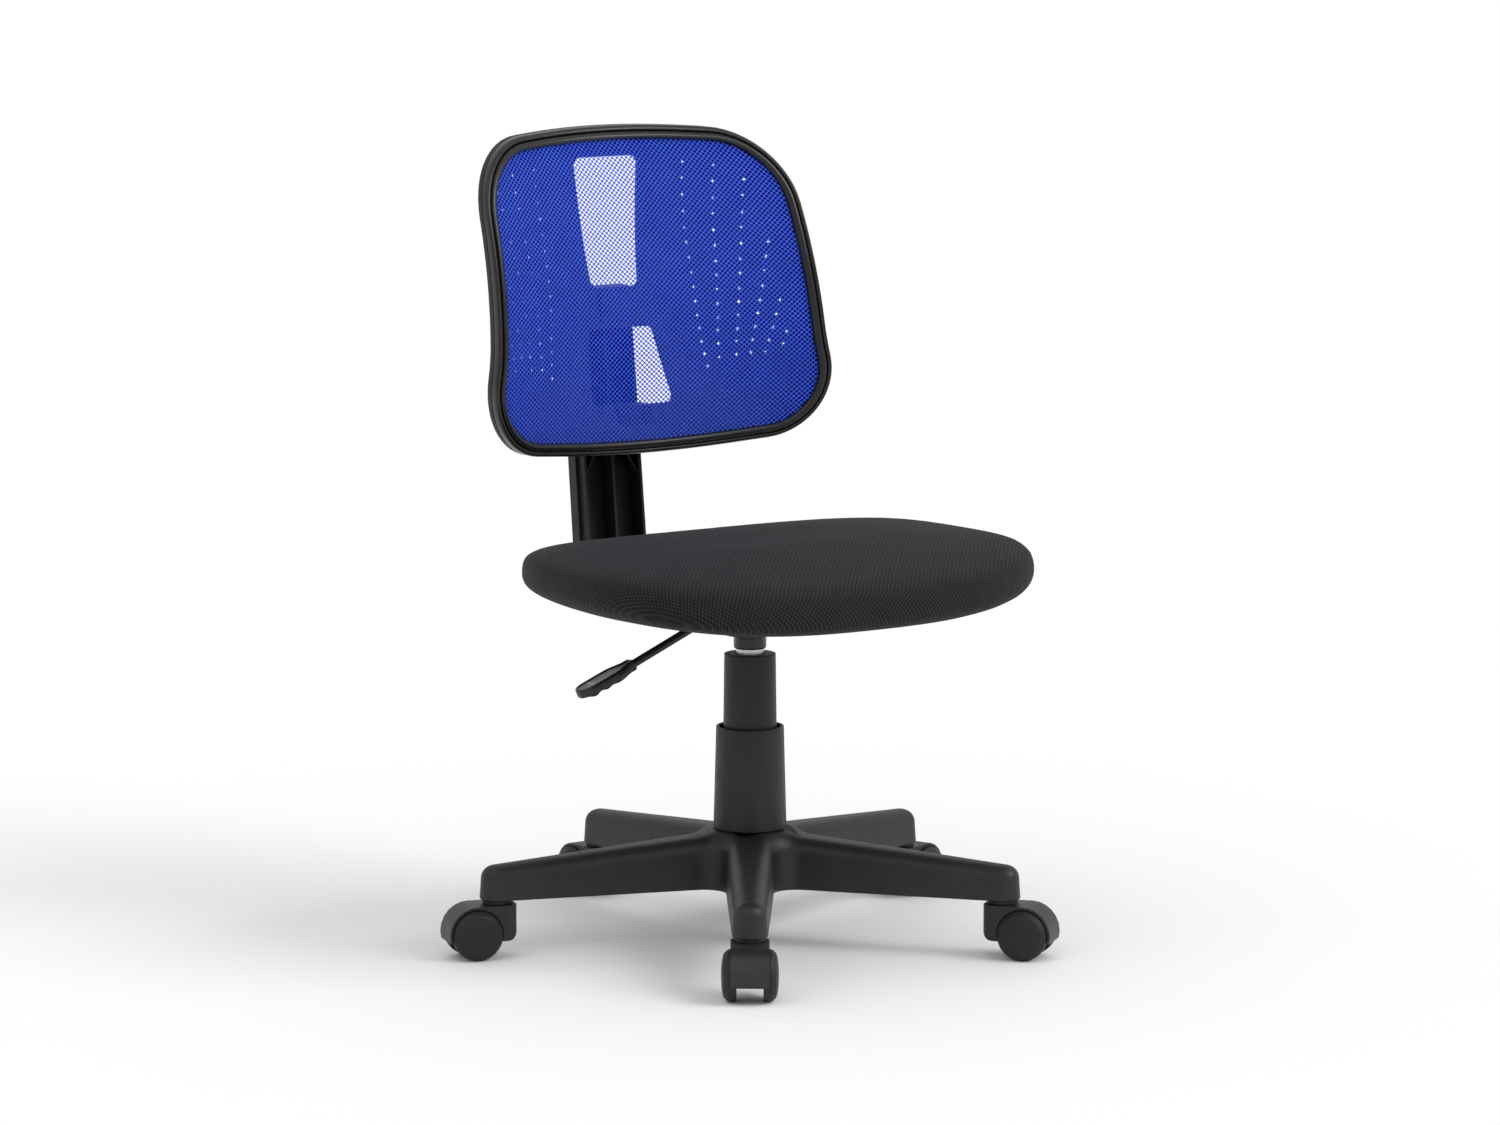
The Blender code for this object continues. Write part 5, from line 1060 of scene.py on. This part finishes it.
def back_shell():
    """Rear shell: deep rim, bulging skin, windows, perforations and the bracket's pads."""
    outline = back_outline(0.005)
    front = FRAME_DEPTH + SHELL_GAP
    rear = front + SHELL_RIM_DEPTH
    rim_out = offset(outline, FRAME_WIDTH)
    rim_in = offset(outline, FRAME_WIDTH - SHELL_WALL)
    shares = [0.97 * (1 - i / 11) + 0.02 * i / 11 for i in range(12)]
    inner = [back_loop(rim_in, front), back_loop(rim_in, rear - 2 * SHELL_WALL)]
    inner += [back_loop(toward_middle(outline, s), shell_depth(s)) for s in shares]
    outer = [back_loop(offset(outline, FRAME_WIDTH - 0.0005), front),
             back_loop(rim_out, front + 0.0005), back_loop(rim_out, rear - 0.0032),
             back_loop(offset(outline, FRAME_WIDTH - 0.0010), rear - 0.0012),
             back_loop(rim_in, rear)]
    outer += [back_loop(toward_middle(outline, s), shell_depth(s) + SHELL_WALL) for s in shares]
    shell = loft(list(reversed(inner)) + outer)
    bar = shift(0, BAR_FRONT_Y, BAR_REF_Z) @ Matrix.Rotation(-BAR_LEAN, 4, "X")
    for low, high in PAD_SPANS:
        reach = []
        for z in (low, high):
            share = min(abs(z - BACK_MIDDLE) / (BACK_TOP - BACK_MIDDLE), 1.0)
            face = BAR_FRONT_Y + (z - BAR_REF_Z) * math.tan(BAR_LEAN)
            reach.append(face - back_y(0, z) - shell_depth(share))
        near, half = -max(reach) - 0.001, PAD_HALF_WIDTH
        plan = [(-half, near), (half, near), (half, -PAD_GAP), (-half, -PAD_GAP)]
        up = 1 / math.cos(BAR_LEAN)
        pad = loft([[Vector((a, b, z)) for a, b in plan]
                    for z in ((low - BAR_REF_Z) * up, (high - BAR_REF_Z) * up)])
        shell = boolean(shell, moved(pad, bar), "UNION")
    for opening in WINDOWS:
        shell = boolean(shell, window(*opening), "DIFFERENCE")
    return boolean(shell, perforations(), "DIFFERENCE")


NET_PITCH = (0.0056, 0.0048)
HOLE_HALF = (0.00164, 0.00144)
YARN_RELIEF, CROSSING_RELIEF, NET_REAR = 0.0006, 0.0003, 0.0006


def back_net():
    """The net itself: crossing yarns with a real hole in each diamond between them."""
    px, pz = NET_PITCH
    edge = back_outline(0.004)
    points, faces, index = [], [], {}
    corners = [(0.5, 0), (0.25, 0.25), (0, 0.5), (-0.25, 0.25), (-0.5, 0), (-0.25, -0.25),
               (0, -0.5), (0.25, -0.25)]

    def point(a, b, lift):
        key = (round(a * 8), round(b * 8), lift)
        if key not in index:
            x, z = a * px, BACK_MIDDLE + b * pz
            index[key] = len(points)
            points.append(Vector((x, back_y(x, z) + NET_REAR - lift, z)))
        return index[key]

    limit = [(e.x, e.y) for e in offset(edge, 0.0010)]
    columns, rows = int(0.20 / px) + 1, int(0.16 / pz) + 1
    for i in range(-columns, columns + 1):
        for j in range(-rows, rows + 1):
            for half in (0.0, 0.5):
                a, b = i + half, j + half
                if not inside(limit, a * px, BACK_MIDDLE + b * pz):
                    continue
                outer = [point(a + da, b + db, YARN_RELIEF if abs(da) == 0.25 else CROSSING_RELIEF)
                         for da, db in corners]
                hole = []
                for k in range(8):
                    angle = math.pi / 4 * k
                    x = a * px + HOLE_HALF[0] * math.cos(angle)
                    z = BACK_MIDDLE + b * pz + HOLE_HALF[1] * math.sin(angle)
                    hole.append(len(points))
                    points.append(Vector((x, back_y(x, z) + NET_REAR, z)))
                faces += [(outer[k], outer[(k + 1) % 8], hole[(k + 1) % 8], hole[k])
                          for k in range(8)]
    return to_mesh(points, faces, outward=False)


def inside(outline, x, z):
    """True if a point lies within a closed outline."""
    odd = False
    for (x0, z0), (x1, z1) in zip(outline, outline[1:] + outline[:1]):
        if (z0 > z) != (z1 > z) and x < x0 + (z - z0) * (x1 - x0) / (z1 - z0):
            odd = not odd
    return odd


def back():
    add("back_frame_fine", back_frame(), "seat", "frame_plastic", ["back_frame"])
    add("back_shell_fine", back_shell(), "seat", "shell_plastic", ["back_shell"])
    net = add("back_net", back_net(), "seat", "blue_mesh", ["back_mesh"])
    finish_node("back_bracket", "shell_plastic", 0.0007)


# ---- the stage

FLOOR_REACH, FLOOR_WHITE, WORLD_STRENGTH = 60, 0.93, 0.72
SUNS = (("key", (1.5, -1.9, 2.0), 34, 1.40), ("fill", (-2.0, -0.6, 2.8), 60, 0.40))


def stage():
    """A plain white floor, an even white surround and two broad suns."""
    reach = FLOOR_REACH
    floor = in_scene("floor", to_mesh([(-reach, -reach, 0), (reach, -reach, 0), (reach, reach, 0),
                                       (-reach, reach, 0)], [(0, 1, 2, 3)], outward=False))
    floor.data.materials.append(new_material("floor_look", (FLOOR_WHITE,) * 3, 0.8)[0])
    world = bpy.data.worlds.new("studio")
    bpy.context.scene.world = world
    world.use_nodes = True
    world.node_tree.nodes["Background"].inputs["Color"].default_value = (1, 1, 1, 1)
    world.node_tree.nodes["Background"].inputs["Strength"].default_value = WORLD_STRENGTH
    for name, toward, softness, power in SUNS:
        data = bpy.data.lights.new(name, "SUN")
        data.angle = math.radians(softness)
        data.energy = power
        light = in_scene(name, data)
        light.rotation_euler = (-Vector(toward)).to_track_quat("-Z", "Y").to_euler()
    bpy.context.scene.view_settings.view_transform = "Standard"


# ---- build

make_camera()
looks = make_looks()
stage()
add("star_skin", star_skin(), "base", "base_nylon", ["star_base"])
add("star_ribbing", star_ribbing(), "base", "base_nylon")
castors()
column()
lever()
screws()
cushion()
back()
for part_name, part_look in (
        ("stand_tube", "black_painted_steel"), ("guide_bush", "grey_acetal"),
        ("thrust_bearing", "bright_steel"), ("piston_rod", "bright_steel"),
        ("piston", "grey_acetal"), ("bump_stop", "black_rubber"),
        ("retaining_clip", "bright_steel"), ("cylinder_guide", "grey_acetal"),
        ("release_pin", "bright_steel"), ("lift_mechanism", "black_painted_steel"),
        ("lever_pivot_pin", "bright_steel")):
    finish_node(part_name, part_look, 0.0003)
